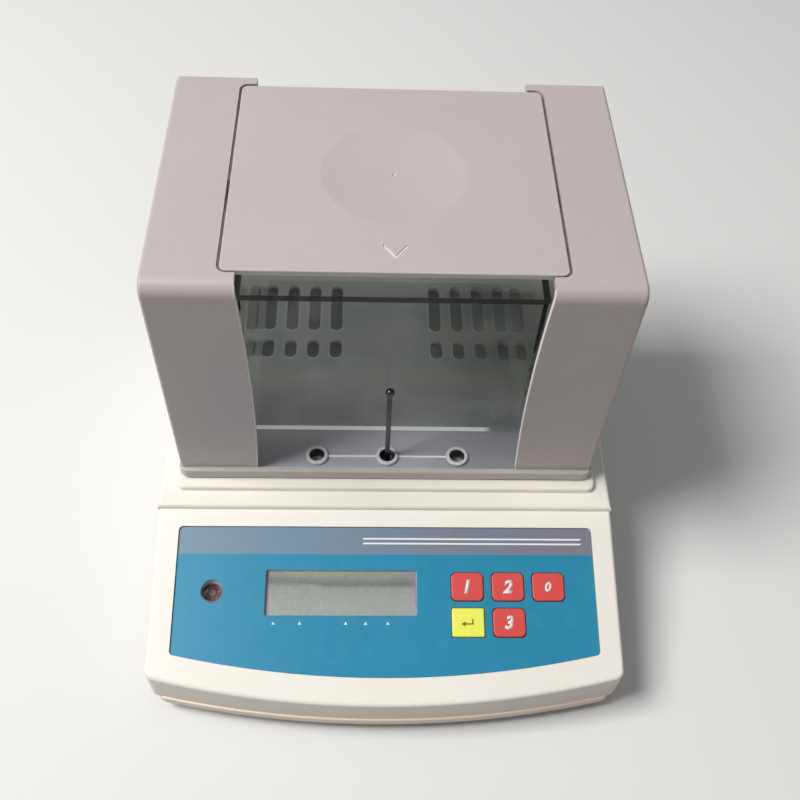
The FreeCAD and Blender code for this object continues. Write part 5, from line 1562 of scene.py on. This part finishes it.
@dataclass(frozen=True)
class FloorFinish(Finish):
    """Pale studio floor that gives little light back to the object."""

    pale: Colour = (0.86, 0.86, 0.85, 1.0)
    bounce: Colour = (0.34, 0.33, 0.32, 1.0)
    roughness: float = 0.75
    cloud_size: float = 40 * MM
    cloud_roughness: float = 0.1
    gloss: float = 0.15

    def draw(self, shader: Shader) -> Value:
        """Draws the surface.

        Args:
            shader: Node tree to draw in.

        Returns:
            The floor's surface.
        """
        path = shader.node("LightPath")
        seen = path["Is Camera Ray"].larger(path["Is Glossy Ray"]).larger(path["Is Transmission Ray"])
        base = shader.mix(seen, self.bounce, self.pale)
        roughness = shader.noise(self.cloud_size, detail=3.0) * self.cloud_roughness + self.roughness
        return shader.principled({"Base Color": base, "Roughness": roughness,
                                  "Specular IOR Level": self.gloss})


@dataclass(frozen=True)
class Softbox:
    """Square lamp that looks at the object."""

    name: str
    place: tuple[float, float, float]
    size: float
    power: float
    colour: tuple[float, float, float] = (1.0, 1.0, 1.0)


@dataclass
class Studio:
    """Floor, lamps, surroundings and the camera at the photograph's angle."""

    target: Vector = field(default_factory=lambda: Vector((0.0, 0.0, 0.08)))
    camera_place: Vector = field(default_factory=lambda: Vector((-11.3, -238.9, 403.2)) * MM)
    yaw: float = math.radians(3.80)
    down: float = math.radians(53.12)
    roll: float = math.radians(-3.66)
    focal_pixels: float = 982.0
    frame_pixels: float = 800.0
    sensor: float = 36.0
    surround: float = 0.23
    seen_strength: float = 0.9
    sky: Colour = (0.97, 0.985, 1.0, 1.0)
    floor_radius: float = 3.0
    floor_rim: float = 0.6
    floor_corners: int = 96
    lamps: tuple[Softbox, ...] = (
        Softbox("key_softbox", (-0.95, -0.14, 1.5), 0.7, 28.0, (1.0, 0.985, 0.965)),
    )

    def camera(self) -> Piece:
        """Sets the camera at the photograph's viewing angle.

        Returns:
            The camera.
        """
        ahead = Vector((math.sin(self.yaw) * math.cos(self.down),
                        math.cos(self.yaw) * math.cos(self.down), -math.sin(self.down)))
        level = Vector((math.cos(self.yaw), -math.sin(self.yaw), 0.0))
        under = ahead.cross(level)
        right = level * math.cos(self.roll) + under * math.sin(self.roll)
        below = under * math.cos(self.roll) - level * math.sin(self.roll)
        axes = Matrix((right, -below, -ahead)).transposed().to_4x4()
        data = bpy.data.cameras.new("camera")
        data.sensor_width = self.sensor
        data.lens = self.focal_pixels * self.sensor / self.frame_pixels
        camera = bpy.data.objects.new("camera", data)
        bpy.context.scene.collection.objects.link(camera)
        camera.matrix_world = Matrix.Translation(self.camera_place) @ axes
        bpy.context.scene.camera = camera
        return camera

    def lamp(self, box: Softbox) -> Piece:
        """Hangs one softbox.

        Args:
            box: Place, size and power of the lamp.

        Returns:
            The lamp.
        """
        data = bpy.data.lights.new(box.name, "AREA")
        data.size = box.size
        data.energy = box.power
        data.color = box.colour
        lamp = bpy.data.objects.new(box.name, data)
        bpy.context.scene.collection.objects.link(lamp)
        lamp.location = box.place
        lamp.rotation_euler = (Vector(box.place) - self.target).to_track_quat("Z", "Y").to_euler()
        return lamp

    def floor(self) -> Piece:
        """Models the floor as a disc with an inset rim.

        Returns:
            The floor.
        """
        Bench.clear()
        bpy.ops.mesh.primitive_circle_add(vertices=self.floor_corners, radius=self.floor_radius,
                                          fill_type="NGON")
        floor = Bench.adopt("floor")
        Bench.pick(floor, Bench.every)
        bpy.ops.mesh.inset(thickness=self.floor_rim)
        bpy.ops.object.mode_set(mode="OBJECT")
        floor.data.materials.append(material_of(FloorFinish("studio_floor")))
        return floor

    def surroundings(self) -> None:
        """Lights the world softly and shows it pale to the camera."""
        world = bpy.data.worlds.new("studio")
        bpy.context.scene.world = world
        shader = Shader(world)
        path = shader.node("LightPath")
        seen = path["Is Camera Ray"].larger(path["Is Transmission Ray"])
        strength = seen * (self.seen_strength - self.surround) + self.surround
        sockets = {"Color": self.sky, "Strength": strength}
        shader.close(shader.node("Background", None, sockets)[0], "OutputWorld")

    def build(self) -> list[str]:
        """Sets up the studio.

        Returns:
            The names of the camera, the floor and the lamps.
        """
        made = [self.camera(), self.floor(), *[self.lamp(box) for box in self.lamps]]
        self.surroundings()
        bpy.context.scene.view_settings.view_transform = "Standard"
        return [thing.name for thing in made]


def main() -> None:
    """Builds the sub-assemblies and the studio in order."""
    logging.basicConfig(level=logging.INFO, format="%(message)s")
    assemblies = (Case(), Switch(), Electronics(), ControlPanel(), Keypad(), Level(), TankChamber(),
                  Hood(), WeighingFrame(), Feet(), Studio())
    for assembly in assemblies:
        for name in assembly.build():
            log.info("%s: %s", type(assembly).__name__, name)
    Bench.clear()


if __name__ == "__main__":
    main()
